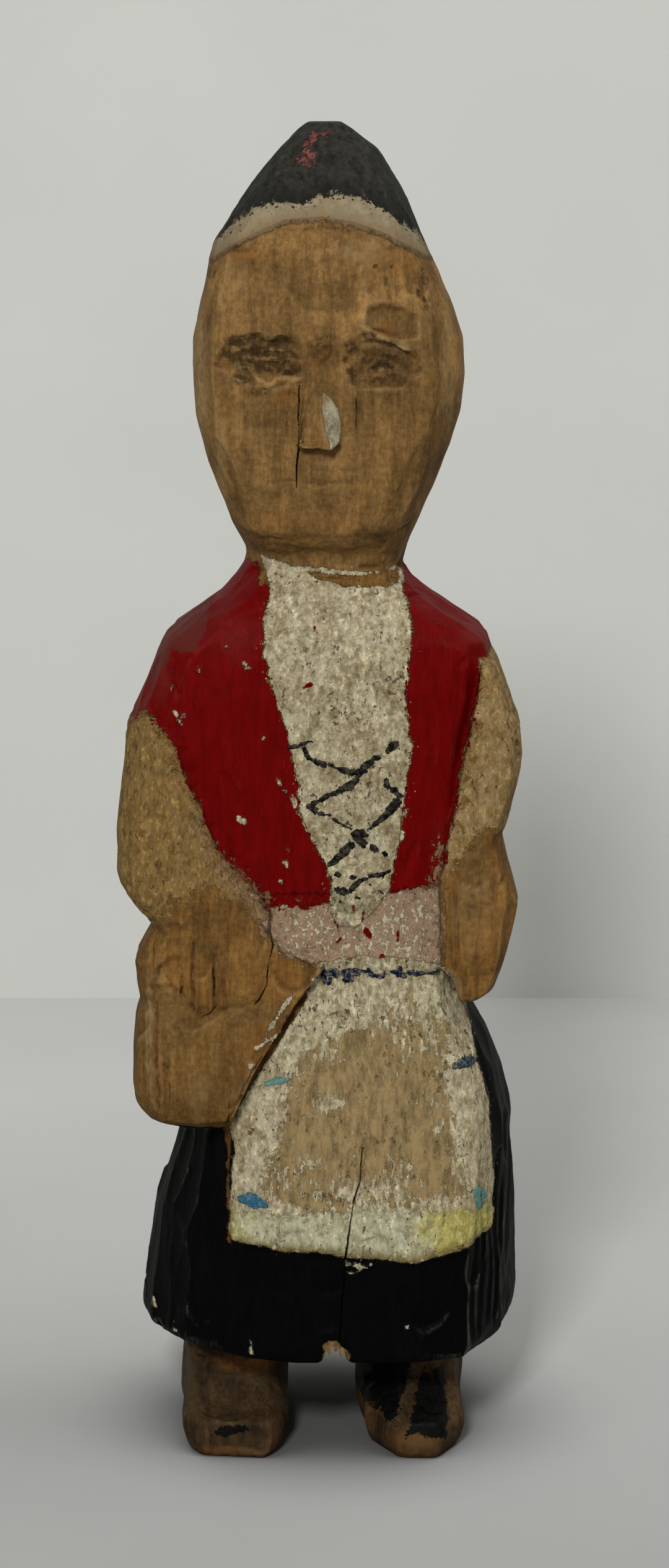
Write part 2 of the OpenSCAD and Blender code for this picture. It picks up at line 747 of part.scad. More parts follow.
module apron_hem() {
    color("#9c9668") intersection() {
        apron_form(apron_proud);
        translate([-cut, -cut, waist_z - apron_h - cut])
            cube([2 * cut, 2 * cut, cut + apron_hem_h]);
    }
}

module apron_stitches() {
    from = stitch_span_shares[0] * half_w;
    step = (stitch_span_shares[1] - stitch_span_shares[0]) * half_w / stitch_count;
    color("#1e3048") difference() {
        intersection() {
            translate([0, -apron_proud - stroke_proud, 0]) body_block();
            rotate([90, 0, 0]) linear_extrude(cut) {
                for (i = [0 : stitch_count - 1])
                    translate([from + i * step, waist_z + stitch_span_shares[2] * torso_h])
                        square([step * stitch_fill_share, stitch_h]);
                for (s = mark_shares)
                    translate([(s[0] - s[2] / 2) * half_w, waist_z - s[1] * apron_h])
                        square([s[2] * half_w, stitch_h]);
            }
        }
        translate([0, -apron_proud, 0]) body_block();
        body_block();
    }
}

module leg_block(side, ring_shares, plan, z, h) {
    translate([leg_x(side), foot_mid_y, 0])
        loft([for (s = ring_shares) placed_plan(plan, ring_of(s, z, h, half_foot))]);
}

module leg(side, plan) {
    leg_block(side, leg_ring_shares, plan, ankle_h, hem_z - ankle_h);
    translate([leg_x(side), foot_mid_y, hem_z]) cylinder(h = leg_peg_l, d = leg_peg_d);
}

module right_leg() {
    color("#3a2616") leg(-1, right_shoe_plan_shares);
}

module left_leg() {
    color("#3a2616") leg(1, left_shoe_plan_shares);
}

module right_shoe() {
    color("#3e3020") leg_block(-1, shoe_ring_shares, right_shoe_plan_shares, 0, ankle_h);
}

module left_shoe() {
    color("#3e3020") leg_block(1, shoe_ring_shares, left_shoe_plan_shares, 0, ankle_h);
}

cap();
cap_band();
head();
nose();
neck_peg();
vest();
blouse();
lacing();
right_sleeve();
left_sleeve();
right_hand();
left_hand();
bag();
right_arm_peg();
left_arm_peg();
waistband();
waist_peg();
skirt();
apron();
apron_hem();
apron_stitches();
right_leg();
left_leg();
right_shoe();
left_shoe();
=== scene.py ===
"""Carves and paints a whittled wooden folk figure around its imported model.

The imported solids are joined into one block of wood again. The block is worked over with knife cuts, cracks and
coats of paint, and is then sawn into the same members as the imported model, so that no seam shows between them.
"""

import math

import bmesh
import bpy
import numpy as np
from mathutils import Matrix, Vector
from mathutils.bvhtree import BVHTree


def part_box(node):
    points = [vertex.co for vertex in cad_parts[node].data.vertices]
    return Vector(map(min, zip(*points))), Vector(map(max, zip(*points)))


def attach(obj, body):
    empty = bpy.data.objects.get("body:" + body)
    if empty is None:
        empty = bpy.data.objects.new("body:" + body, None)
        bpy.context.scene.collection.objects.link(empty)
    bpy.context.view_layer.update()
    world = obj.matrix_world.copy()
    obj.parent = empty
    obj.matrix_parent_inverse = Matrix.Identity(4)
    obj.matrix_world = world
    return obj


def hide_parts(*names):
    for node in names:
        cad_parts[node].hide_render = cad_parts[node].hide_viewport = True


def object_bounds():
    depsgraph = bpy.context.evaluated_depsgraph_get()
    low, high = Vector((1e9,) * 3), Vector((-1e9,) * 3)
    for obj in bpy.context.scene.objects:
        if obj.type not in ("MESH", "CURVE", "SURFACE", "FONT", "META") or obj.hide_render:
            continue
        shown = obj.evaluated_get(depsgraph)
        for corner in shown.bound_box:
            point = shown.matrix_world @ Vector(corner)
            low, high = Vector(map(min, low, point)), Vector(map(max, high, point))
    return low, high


bl_info = {
    "name": "Whittled folk figure",
    "version": (1, 0, 0),
    "blender": (4, 5, 0),
    "location": "3D View > Sidebar > Figure",
    "description": "Carves and paints a wooden folk figure around its packed model",
    "category": "Object",
}

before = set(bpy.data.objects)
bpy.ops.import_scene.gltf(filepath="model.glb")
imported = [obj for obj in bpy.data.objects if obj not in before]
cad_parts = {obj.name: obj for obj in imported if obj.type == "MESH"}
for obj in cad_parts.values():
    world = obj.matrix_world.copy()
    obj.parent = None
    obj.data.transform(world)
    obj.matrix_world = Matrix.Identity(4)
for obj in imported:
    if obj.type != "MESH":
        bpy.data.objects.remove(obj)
CAD_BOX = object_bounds()
MM = 0.001
BODY = "root"
STROKE_NODES = ("lacing", "apron_stitches")
DOWEL_NODES = ("neck_peg", "waist_peg", "right_arm_peg", "left_arm_peg")

# Levels where the figure is divided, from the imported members, in mm
NECK_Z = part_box("vest")[1].z / MM
WAIST_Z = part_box("skirt")[1].z / MM
HEM_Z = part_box("skirt")[0].z / MM
ANKLE_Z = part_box("right_shoe")[1].z / MM
TIP_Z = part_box("cap")[1].z / MM
HEM_BAND_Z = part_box("apron_hem")[1].z / MM

# How far back the members that are let into the front reach, as y in mm
ARM_BACK = 4.0
RELIEF_BACK = -9.0
BLOUSE_BACK = -7.0
APRON_BACK = -9.2
# The right hand and the bag stand off the skirt from here outwards, between two levels
CORE_X = -7.4
CORE_LEVELS = (30, 75)
# How far forward the flat of the face stands
NOSE_BASE = 12.9
# No knife facet starts lower than this, so that the soles stay flat
SOLE_EDGE = 0.6
# How many places are tried for a random facet; those too near to another one are passed over
FACET_TRIES = 14000
# Beyond every member: at the sides, and above
FAR = 60
HIGH = 200

# Outlines seen from the front, as (x, z) in mm. The figure's right hand is on the -x side
CAP_EDGE = [
    (-30, 133.5), (-11.9, 137), (-9.4, 139.3), (-7.4, 140.9), (-4.6, 141.7), (-1.8, 141.5), (0.2, 142.4), (2.9, 142.4),
    (4.8, 142), (7.6, 140.2), (10.4, 138.4), (11.7, 136.7), (30, 133.5),
]
BAND_EDGE = [
    (-30, 131.5), (-11.8, 135.1), (-9.8, 136.6), (-6.8, 138.1), (-3.8, 139.4), (0, 139.7), (3.4, 139.2), (6.6, 138.1),
    (10.4, 136.1), (11.8, 135.3), (30, 131.5),
]
NOSE_OUTLINE = [
    (-2.4, 116), (-1.5, 122.3), (-0.9, 122.6), (0.1, 122.4), (0.9, 121), (1.85, 119.8), (2.25, 118.2), (2.25, 116.9),
    (1.8, 115.9), (1.1, 115.3), (-1, 115.7),
]
NOSE_RIDGE = [(116, 1.1), (117.4, 0.6), (119.1, 0.35), (122, -0.1)]
NOSE_WHITE = [
    (0.2, 121.9), (1.1, 120.9), (1.9, 119.8), (2.3, 118.2), (2.1, 116.5), (1.1, 115.2), (0.9, 116.5), (0.5, 117.6),
    (0.2, 119.1),
]
RIGHT_SOCKET = [
    (-11.3, 124.8), (-10.3, 126.5), (-8.6, 127.7), (-6.9, 127.9), (-4.5, 127.5), (-2.3, 127.3), (-1.9, 125),
    (-2.1, 123.3), (-4, 122.2), (-6.2, 121.8), (-9, 123),
]
LEFT_SOCKET = [
    (2.4, 124.8), (2.7, 126.7), (4.7, 127.9), (7.9, 127), (9.9, 126.2), (11.2, 124.3), (10.5, 123.4), (8.8, 122.2),
    (5.5, 121.9), (3.8, 122.4), (2.7, 123.6),
]
BLOUSE_OUTLINE = [
    (-6.7, 103.1), (-3.2, 102.3), (2.2, 101.7), (6.6, 101.4), (9.2, 101.7), (9.1, 99.5), (10.1, 96.2), (9.6, 91.6),
    (9.3, 87.3), (10, 82.6), (9.6, 78.7), (8.8, 73.4), (8.2, 69.7), (7.6, 66.6), (6.5, 64.6), (4, 62), (1.6, 62.4),
    (1, 64.9), (1.3, 66), (0.7, 68.7), (-1.1, 72.1), (-2.3, 75.1), (-2.6, 77.3), (-2.9, 80.6), (-3.5, 83.3),
    (-4.6, 86.6), (-5.5, 89.3), (-6.2, 93.2), (-6.3, 96.2), (-5.5, 99.8),
]
BARE_NECK_OUTLINE = [(-1.5, 101.6), (2.4, 101.1), (8.6, 101.3), (8.5, 99.9), (3, 99.9), (-0.5, 100.9)]
VEST_OUTLINE = [
    (-30, 102), (-6.8, 102), (-6.8, 100), (9.2, 100), (9.2, 102), (30, 102), (30, 67), (12.9, 67), (10.9, 66.6),
    (7.6, 66), (4.4, 65), (1, 64.8), (-1.7, 64.3), (-5.6, 64.4), (-30, 64),
]
# Borders that two neighbours share: both wrists, and the knuckles over the bag
RIGHT_WRIST = [(-30, 61.5), (-18.8, 61.7), (-16.1, 64.9), (-12.2, 66.9), (-8.7, 65.2), (-6.6, 63)]
LEFT_WRIST = [(30, 72.5), (20.2, 72.5), (18, 73.4), (16.7, 72.3), (15, 69.1), (13.1, 68)]
BAG_TOP = [
    (-30, 55.7), (-18.6, 55.7), (-16.9, 56.1), (-15.5, 55.1), (-14.1, 53.3), (-12.9, 52.6), (-11.5, 53.2), (-9.7, 53.9),
    (-8.4, 54.1), (-6, 54.2), (-3, 53.4),
]
RIGHT_SLEEVE_OUTLINE = [
    (-5.6, 63.9), (-6.9, 65.8), (-8.2, 67.7), (-10.9, 70.2), (-12.5, 73.2), (-13.5, 76.4), (-15.1, 79.4),
    (-16, 82.4), (-18.1, 85.1), (-19.4, 86.2), (-21.7, 84.3), (-30, 84.3),
] + RIGHT_WRIST
RIGHT_HAND_OUTLINE = RIGHT_WRIST + [(-5.6, 61.4), (-4, 59.3), (0.3, 57.8)] + BAG_TOP[::-1]
BAG_OUTLINE = BAG_TOP + [
    (-5.3, 49.8), (-7.3, 46.4), (-9.2, 42.3), (-10.5, 38.2), (-12.4, 39.2), (-15.5, 39.5), (-17.2, 39.4),
    (-20, 40.1), (-21.7, 42), (-30, 42),
]
LEFT_SLEEVE_OUTLINE = [
    (30, 91.9), (18.8, 92.2), (17.4, 92.1), (17.6, 90.4), (17, 87.1), (16.3, 83.8), (15.4, 79.4), (15, 76.1),
    (14.2, 73.2), (13.7, 69.4),
] + LEFT_WRIST[::-1]
LEFT_HAND_OUTLINE = LEFT_WRIST + [(13.3, 62), (13.4, 57.8), (14.8, 56.6), (15.5, 53.5), (30, 53.5)]
# Each arm with its hand, and the right one with its bag, in one outline
RIGHT_ARM_OUTLINE = RIGHT_SLEEVE_OUTLINE[:12] + BAG_OUTLINE[:9:-1] + RIGHT_HAND_OUTLINE[8:4:-1]
LEFT_ARM_OUTLINE = LEFT_SLEEVE_OUTLINE[:11] + LEFT_HAND_OUTLINE[6:]
# How much lower the waistband's upper edge is at the figure's right
WAIST_TILT = 4.6
WAIST_OUTLINE = [(-30, 65), (30, 67), (30, 56.8), (-30, 56.8)]
APRON_OUTLINE = [
    (-0.4, 58), (-1.9, 53.4), (-4.5, 49.6), (-6.5, 46.3), (-8.8, 42.3), (-10.4, 39.2), (-9.8, 36.1), (-10.2, 33.2),
    (-10.4, 29.8), (-10.4, 27.2), (-10.2, 25.9), (-7.3, 25.8), (-4.1, 25), (-0.4, 25.3), (2.7, 24.6), (5.8, 24.3),
    (10.8, 24), (15.1, 25), (18.8, 26), (19.9, 26.6), (19.5, 29.5), (19.8, 31.5), (19.3, 36.7), (19, 41.3),
    (17.5, 46.4), (17, 49.5), (15.8, 53.6), (15, 57.4), (9, 58.6), (4, 58.8),
]
TAN_OUTLINE = [
    (0.7, 50.6), (-3, 46.1), (-3.8, 43.3), (-4, 40.6), (-5.3, 37.8), (-6.4, 33.2), (-5.7, 31.3), (-0.4, 30.1),
    (3.3, 30.5), (11, 31.2), (16.6, 31.5), (15.6, 38), (13.9, 45.4), (13.8, 50.6), (11, 53.6), (5.9, 55), (2.9, 53),
]
HEM_OUTLINE = [(-12, 29.6), (-5, 29.4), (3, 29.8), (12, 30.2), (21, 29.6), (21, 22), (-12, 22)]
LEFT_SHOE_BLACK = [
    (11.2, 7.2), (11.7, 8.8), (12.5, 7.4), (13.2, 8.6), (14.2, 8.6), (14.4, 5.9), (14.3, 2.5), (12.7, 2.6), (11, 3.2),
    (9.7, 2.9), (9.8, 3.8), (10.8, 5.4),
]
LEFT_SHOE_INNER = [
    (3.4, 11), (10.2, 11), (10.1, 8), (9.6, 6.6), (8.8, 5), (7.8, 3.8), (6.8, 4.8), (4.8, 4.4), (2.6, 4.8), (2.6, 9),
]
RIGHT_SHOE_MARK = [(-12.8, 3.1), (-11.4, 3.4), (-9.6, 4), (-8.3, 3.4), (-9.6, 3), (-11, 2.6)]
CAP_RED = [
    [(-1, 149.9, 0.5), (0.5, 149.2, 0.6)], [(-0.3, 149, 0.5), (-1.5, 147.3, 0.4)],
    [(-1.6, 147.1, 0.5), (-0.7, 145.9, 0.4)], [(-2.3, 145.9, 0.4), (-1.2, 145.6, 0.4)],
]
# Cream paint that lies on its own: the apron's chipped outer fringe, and drops on the vest and the skirt
FRINGE = [
    [(-3.2, 54.9, 0.2), (-4, 53.9, 0.3), (-4.6, 52.9, 0.26)], [(-5, 52.4, 0.2), (-5.6, 51.5, 0.32), (-6, 50.7, 0.1)],
    [(-5.9, 49.9, 0.2), (-7.2, 49, 0.3)], [(-4.9, 50.3, 0.25), (-5.5, 50.1, 0.3)],
    [(-7.8, 47.2, 0.3), (-7.9, 46.9, 0.3)], [(2.8, 24, 0.2), (4.2, 23.5, 0.3), (5.6, 23.7, 0.1)],
    [(3.2, 22.9, 0.12), (3.9, 22.9, 0.12)], [(-13.5, 91, 0.19), (-13.4, 90.9, 0.17)],
    [(-15.9, 86.3, 0.2), (-15.7, 85.6, 0.15), (-15.3, 84.9, 0.13)], [(-15.1, 86.1, 0.2), (-15, 86, 0.2)],
    [(-10.4, 93.7, 0.15), (-10.3, 93.7, 0.15)], [(-8.4, 92, 0.1), (-8.1, 91.4, 0.15), (-7.8, 91.4, 0.1)],
    [(-6.3, 83.7, 0.18), (-6.2, 83.5, 0.17)], [(-4.7, 78.9, 0.18), (-4.5, 78.1, 0.2)],
    [(-4.1, 77.8, 0.18), (-4, 77.6, 0.17)], [(-3.2, 77.2, 0.2), (-2.9, 76, 0.26), (-2.4, 75, 0.12)],
    [(-9, 74.5, 0.4), (-8.6, 74.2, 0.4)], [(-4, 69.4, 0.18), (-3.8, 69.1, 0.18)],
    [(-3.6, 71, 0.17), (-3.5, 70.9, 0.16)], [(-6.6, 75, 0.15), (-6.5, 75, 0.1)],
    [(-7.9, 66.2, 0.25), (-6.6, 65.6, 0.2)], [(-4.5, 67.3, 0.19), (-4.4, 67.1, 0.18)],
    [(-2.4, 65.3, 0.25), (-2.1, 65.2, 0.2)], [(9.1, 73, 0.2), (9, 72.2, 0.22)], [(9.4, 75.4, 0.16), (9.3, 74.8, 0.14)],
    [(-16.5, 89.1, 0.13), (-16.5, 88.9, 0.13)], [(-17, 13.8, 0.1), (-16.9, 13.2, 0.12)],
    [(-8, 14.4, 0.08), (-7.9, 12.9, 0.12)], [(-19.6, 15.4, 0.15), (-19.4, 14.6, 0.2)],
    [(9.7, 16.6, 0.12), (9.7, 16.2, 0.12)],
]
# Thin brownish paint dragged over the borders of vest, sleeves and waistband
SMEARS = [
    [(-14.2, 75, 0.1), (-13, 72, 0.5), (-11, 69, 0.9), (-8.8, 67, 1), (-7.2, 65.2, 1.2), (-6, 62, 0.9)],
    [(13.4, 72, 0.1), (13, 69.4, 0.4), (12.8, 66.6, 0.7), (13, 62, 0.6), (13.2, 58, 0.4)],
]
# Crimson that strayed onto the waistband, the blouse and the neck
RED_SPECKS = [
    [(5.1, 61.6, 0.4), (5.4, 61, 0.35)], [(4.7, 63.6, 0.2), (4.6, 62.6, 0.1)], [(8.7, 62, 0.12), (8.6, 60.4, 0.16)],
    [(6.7, 58.7, 0.35), (7.3, 58.3, 0.25)], [(1.4, 63, 0.15), (1.9, 61.6, 0.16)], [(2.2, 61, 0.1), (1.7, 60.2, 0.12)],
    [(-1.2, 89.4, 0.3), (-1.8, 89.2, 0.2)], [(-0.7, 95.8, 0.15), (-0.4, 95.2, 0.15)],
    [(-7.1, 67.1, 0.3), (-7, 66.9, 0.3)], [(3.6, 64.6, 0.2), (3.7, 63.8, 0.1)],
]
# Wood that the apron's and the skirt's paint left bare between bag, apron and skirt
BARE_STRIP = [
    (-1.2, 54.4, 0.9), (-4.6, 50, 1.5), (-7, 46.5, 1.4), (-9.4, 42, 1.1), (-10.6, 38.4, 0.5), (-10.5, 35, 0.14),
    (-10.6, 30, 0.16), (-10.4, 25.4, 0.16),
]
BARE_NOTCH = [(0.5, 12, 0.5), (1.2, 14, 1), (2.6, 12.8, 0.7)]

# Chip out of the skirt's lower edge, where the crack ends
HEM_NOTCH = [
    (0.2, 9), (0.3, 12.8), (0.6, 13.9), (0.9, 12.8), (1.3, 14.4), (1.6, 12.9), (1.9, 14.2), (2.2, 12.7), (2.5, 13.8),
    (2.8, 12.8), (3, 9),
]

# Cracks seen from the front, as points with a half width, and their depth, in mm
CRACKS = [
    ([(-2.3, 122.3, 0.03), (-2.35, 121, 0.066), (-2.45, 118.6, 0.078), (-2.35, 116.4, 0.06), (-2.42, 115.2, 0.084),
      (-2.6, 113.4, 0.072), (-2.62, 111.2, 0.02)], 1),
    ([(3.85, 120.9, 0.02), (3.9, 120.2, 0.06), (3.86, 119.2, 0.036), (3.8, 117.4, 0.02)], 0.5),
    ([(-3.65, 119.4, 0.02), (-3.6, 118.4, 0.03), (-3.7, 117.2, 0.02)], 0.2),
    ([(4.7, 37.2, 0.02), (4.5, 35.9, 0.048), (4.4, 33.4, 0.04), (3.8, 31.6, 0.072), (3.5, 30, 0.036),
      (3.1, 27.4, 0.084), (2.75, 24.4, 0.096)], 1),
    ([(2.75, 24.6, 0.096), (2.5, 21, 0.06), (2.3, 18, 0.048), (2.1, 14.6, 0.072)], 0.7),
    ([(-5.6, 63.6, 0.02), (-5.7, 61.8, 0.048), (-5.3, 60.4, 0.072), (-5.7, 58.6, 0.03), (-5.9, 57.4, 0.072),
      (-6, 56, 0.036), (-6.9, 54.4, 0.084), (-7.4, 53.9, 0.03)], 0.5),
    ([(-12, 58.4, 0.02), (-11.85, 56.6, 0.072), (-11.9, 54.8, 0.03)], 0.5),
    ([(-13.2, 52.5, 0.02), (-12.2, 53, 0.06), (-11.6, 53.7, 0.036)], 0.35),
    ([(-15.4, 55.9, 0.048), (-15.6, 55, 0.06)], 0.4),
    ([(-14.25, 58.4, 0.02), (-14.3, 56.6, 0.036), (-14.2, 55.4, 0.02)], 0.3),
    ([(-16.9, 45.2, 0.02), (-16.8, 43.6, 0.04), (-16.85, 42.4, 0.02)], 0.2),
    ([(-10.2, 43, 0.02), (-10.3, 41, 0.036), (-10.3, 39.8, 0.03)], 0.25),
    ([(13.5, 66.6, 0.02), (13.9, 63.4, 0.03), (13.8, 60, 0.03), (13.7, 58, 0.02)], 0.25),
    ([(8.1, 134.4, 0.02), (8.05, 133.2, 0.03), (8.2, 131.8, 0.02)], 0.15),
    ([(-7.9, 19.2, 0.02), (-8, 16, 0.03), (-8.1, 13.2, 0.036)], 0.2),
]
CREASES = [
    ([(-14.2, 60.6), (-14.3, 58.4), (-14.2, 53.6)], 0.34, 0.32),
    ([(-11.9, 59.4), (-11.85, 56), (-11.8, 53.4)], 0.32, 0.28),
    ([(-8.4, 58.2), (-8.3, 56), (-8.4, 54.4)], 0.4, 0.12),
    ([(-18.5, 56.2), (-17.7, 58), (-16.7, 56)], 0.28, 0.2),
    ([(-15.5, 57), (-15.5, 54.8)], 0.34, 0.25),
    ([(-18.9, 55.5), (-16.9, 55.9), (-15.5, 54.9), (-14.1, 53.2), (-12.9, 52.4), (-11.5, 53), (-9.7, 53.7),
      (-8.4, 53.9), (-6.6, 54.1)], 0.5, 0.22),
    ([(-18.9, 60.4), (-18.7, 57.4)], 0.3, 0.25),
    ([(-18.4, 54), (-18.3, 49), (-18.2, 44.5), (-18, 42)], 0.3, 0.28),
    ([(-19.4, 53.4), (-19.3, 49), (-19.3, 44.5)], 0.22, 0.16),
    ([(0.4, 57.5), (-3, 53.1), (-5.6, 49.3), (-7.6, 46), (-9.5, 42), (-10.8, 39)], 0.5, 0.35),
    ([(-1.5, 111.75), (0.4, 111.7), (2.9, 111.75)], 0.24, 0.16),
    ([(-5.9, 111.6), (-4.6, 111.9), (-2.9, 111.9)], 0.2, 0.14),
    ([(-1.6, 113.3), (0.6, 113.15), (2.9, 113.1)], 0.3, 0.1),
    ([(4, 117.2), (5.2, 116.9), (6.6, 117.3)], 0.25, 0.1),
    ([(-8, 116.4), (-5.6, 115.6)], 0.2, 0.08),
    ([(-6.4, 104.9), (-1, 103.9), (3, 103.8), (8.6, 104.6)], 0.6, 0.1),
    ([(15, 66), (15.3, 61), (15, 57.6)], 0.3, 0.2),
    ([(17.2, 70), (17.8, 64), (17, 58)], 0.35, 0.14),
    ([(16.3, 68), (16.5, 63)], 0.2, 0.1),
    ([(-4.7, 123.8), (-3.6, 123.75), (-2.2, 123.9)], 0.26, 0.55),
    ([(5.4, 124.1), (6.6, 124.5), (7.9, 124.2)], 0.26, 0.45),
    ([(-6.2, 124.9), (-4.6, 124.7)], 0.3, 0.25),
]
# Ridges that the knife left standing
RIDGES = [
    ([(4.5, 128.5), (5.6, 127.4), (7.4, 126.9), (9.6, 126)], 0.34, 0.4),
    ([(-9, 124.2), (-7.5, 123.9), (-6.6, 122.9), (-5.5, 122.3), (-4.5, 123), (-2.3, 123)], 0.32, 0.34),
    ([(-8.4, 126.2), (-6, 126.5), (-3.4, 126), (-2, 125.5)], 0.3, 0.2),
    ([(-9, 125.2), (-7, 125.4), (-4, 125.2)], 0.24, 0.14),
    ([(4.2, 123.1), (5.6, 123.4), (8.4, 123)], 0.26, 0.1),
    ([(4.2, 126.1), (6.4, 125.7), (9.2, 125.6)], 0.26, 0.08),
    ([(-18.4, 56.1), (-17.7, 57.7), (-16.9, 56)], 0.14, 0.14),
    ([(-5.1, 62), (-5, 60), (-5.2, 57.6)], 0.3, 0.16),
    ([(-4.2, 81.2), (-3.6, 79)], 0.16, 0.12),
]
# Knife facets cut on the front: x, z, half width, half length, turn in degrees, depth
FACETS = [
    (4.2, 135.2, 4.6, 3.6, 10, 0.4), (-3.6, 134.6, 4.4, 3.4, -8, 0.34), (0.9, 131.2, 5.2, 3, 4, 0.4),
    (-8.6, 131.6, 3, 4.6, 6, 0.36), (7.7, 129.8, 3.3, 2.2, -18, 0.5), (10.6, 132.8, 2.6, 4.4, 12, 0.4),
    (-6.4, 118.4, 4, 3.6, 0, 0.28), (6.6, 119.4, 3.4, 3.2, -6, 0.28), (-5.4, 108.6, 4, 4.4, -8, 0.3),
    (1.6, 107.6, 4.2, 3.4, 0, 0.3), (10.4, 112.6, 2.6, 6.4, -12, 0.6), (-10.2, 112.6, 2.2, 6, 14, 0.45),
    (-13.6, 47.6, 4.6, 5.2, 24, 0.35), (-9.8, 46.2, 3.4, 5, 24, 0.28), (-16.2, 51, 2.6, 4, 0, 0.25),
    (-11.8, 62.6, 4.2, 3.4, 30, 0.22), (-16.4, 60.2, 2.2, 3.2, 10, 0.22), (17.6, 63.2, 2.4, 5.2, -4, 0.25),
    (16.6, 77.6, 2.4, 5, 6, 0.2), (-17.4, 76.4, 3, 5.4, -6, 0.22), (-15.4, 70, 3.2, 4, -14, 0.2),
    (-13.8, 94.8, 3, 4.6, 48, 0.35), (-19.2, 88.6, 2.4, 4, 28, 0.3), (14.6, 94.4, 2.4, 4.4, -52, 0.3),
    (-10.2, 6.2, 3.4, 3.2, 0, 0.25), (-12, 9.6, 3, 2.4, 10, 0.2), (12.6, 6.8, 2.6, 3.2, 8, 0.25),
    (8.4, 4.4, 2.6, 2.2, -20, 0.25), (-14.6, 24, 2.8, 9, 6, 0.3), (-17.2, 20, 2, 8.6, 8, 0.3),
]
# Scoops of the knife in the forehead, deepest at their lower edge: outline and depth
GOUGES = [
    ([(4.7, 128.6), (5, 130.6), (6.5, 131), (8.8, 130.6), (10.5, 130), (10.5, 127.6), (8.5, 127), (6.2, 127.8)], 0.58),
    ([(4.8, 132.3), (5.3, 134.2), (6.5, 135.4), (8.8, 135.8), (10.3, 133.3), (10.4, 131.9), (7.8, 131.4), (5.8, 131)],
     0.34),
    ([(-3.3, 134.6), (0.8, 136.1), (4.3, 135.4), (4.4, 132.3), (2.8, 130), (-1.8, 130), (-3.5, 132.3)], 0.32),
    ([(10.6, 134.2), (11.3, 133.6), (11.9, 131), (11.3, 130.6), (10.8, 131.6)], 0.45),
    ([(-11.1, 134.6), (-7.1, 135.8), (-4.1, 135.2), (-4.1, 131.7), (-5.5, 129.4), (-10.1, 129.7)], 0.2),
]
# Narrow upright flutes that the knife left in the skirt on the figure's left: x, and the two levels
FLUTES = [(17.4, 13, 30), (18.3, 13, 33), (19.2, 14, 30), (20, 13, 36), (20.9, 14, 40), (21.7, 16, 38)]

# Facets of the face, as outlines, drawn darker or paler than their neighbours. The dark ones are painted shade
# together with dirt, in the eye sockets, the forehead's scoops and on the side of the face; the pale ones are painted
# highlights where the light falls on the forehead, the brow ridge, the lower lids and the upper side of the face
SHADE_AND_DIRT_FACETS = [
    [(-3, 134.9), (-3.5, 132.6), (-2.8, 130.7), (0.8, 129.7), (3.8, 130.3), (4.2, 133), (2.2, 133.1), (-0.8, 133.6)],
    [(5, 130.6), (4.7, 128.7), (6.2, 127.9), (8.5, 127.1), (10.4, 127.7), (10.5, 130), (8.8, 130.6), (6.5, 131)],
    [(-2, 126.9), (2.6, 127), (2.2, 125), (0.8, 123.8), (-1.2, 124.6)],
    [(15.6, 122), (12.6, 119), (11, 115.4), (9.8, 111), (9.2, 107), (9.6, 103), (15, 104), (18, 116)],
    [(-9.8, 125.6), (-8.4, 127.5), (-2.6, 127.1), (-2, 126), (-4.2, 125.5), (-7.5, 125.5), (-10.4, 124)],
    [(3.2, 126), (5.5, 127), (8, 125.8), (10.8, 124), (9.5, 122), (4.8, 121.7), (2.8, 122.8)],
]
HIGHLIGHT_FACETS = [
    [(-0.8, 136.6), (-0.2, 133.9), (2.2, 133.3), (4.8, 134.3), (4.5, 136.4), (2, 137.4)],
    [(3.9, 129.8), (4.3, 131.9), (5, 132.4), (5.7, 131.4), (5, 130.6), (4.6, 129)],
    [(4.4, 128.3), (5.5, 127.9), (7.5, 127.2), (9.6, 126.6), (9.9, 125.8), (8.2, 126.2), (5.8, 126.9), (4.7, 127.5)],
    [(-8.8, 124), (-7.4, 123.7), (-6.4, 123.6), (-5.8, 122.8), (-4.4, 123.3), (-2.3, 123.2), (-2.3, 122.7),
     (-4.4, 122.6), (-5.8, 122), (-6.8, 123)],
    [(12.6, 134), (13.4, 127), (12.9, 120), (18, 119), (18, 136)],
]
# Facets of the vest's shoulder drawn in a duller, greyer crimson: a painted sheen where the light from above falls on
# them
SHEEN_FACETS = [
    [(-16.3, 95.3), (-14.5, 96.5), (-12.3, 97.3), (-12.7, 94.8), (-14, 92.9), (-16.1, 92.5)],
    [(-16.3, 95), (-16.4, 92.4), (-18, 89.9), (-19.1, 88.4), (-21, 88.4), (-20, 92.7)],
]
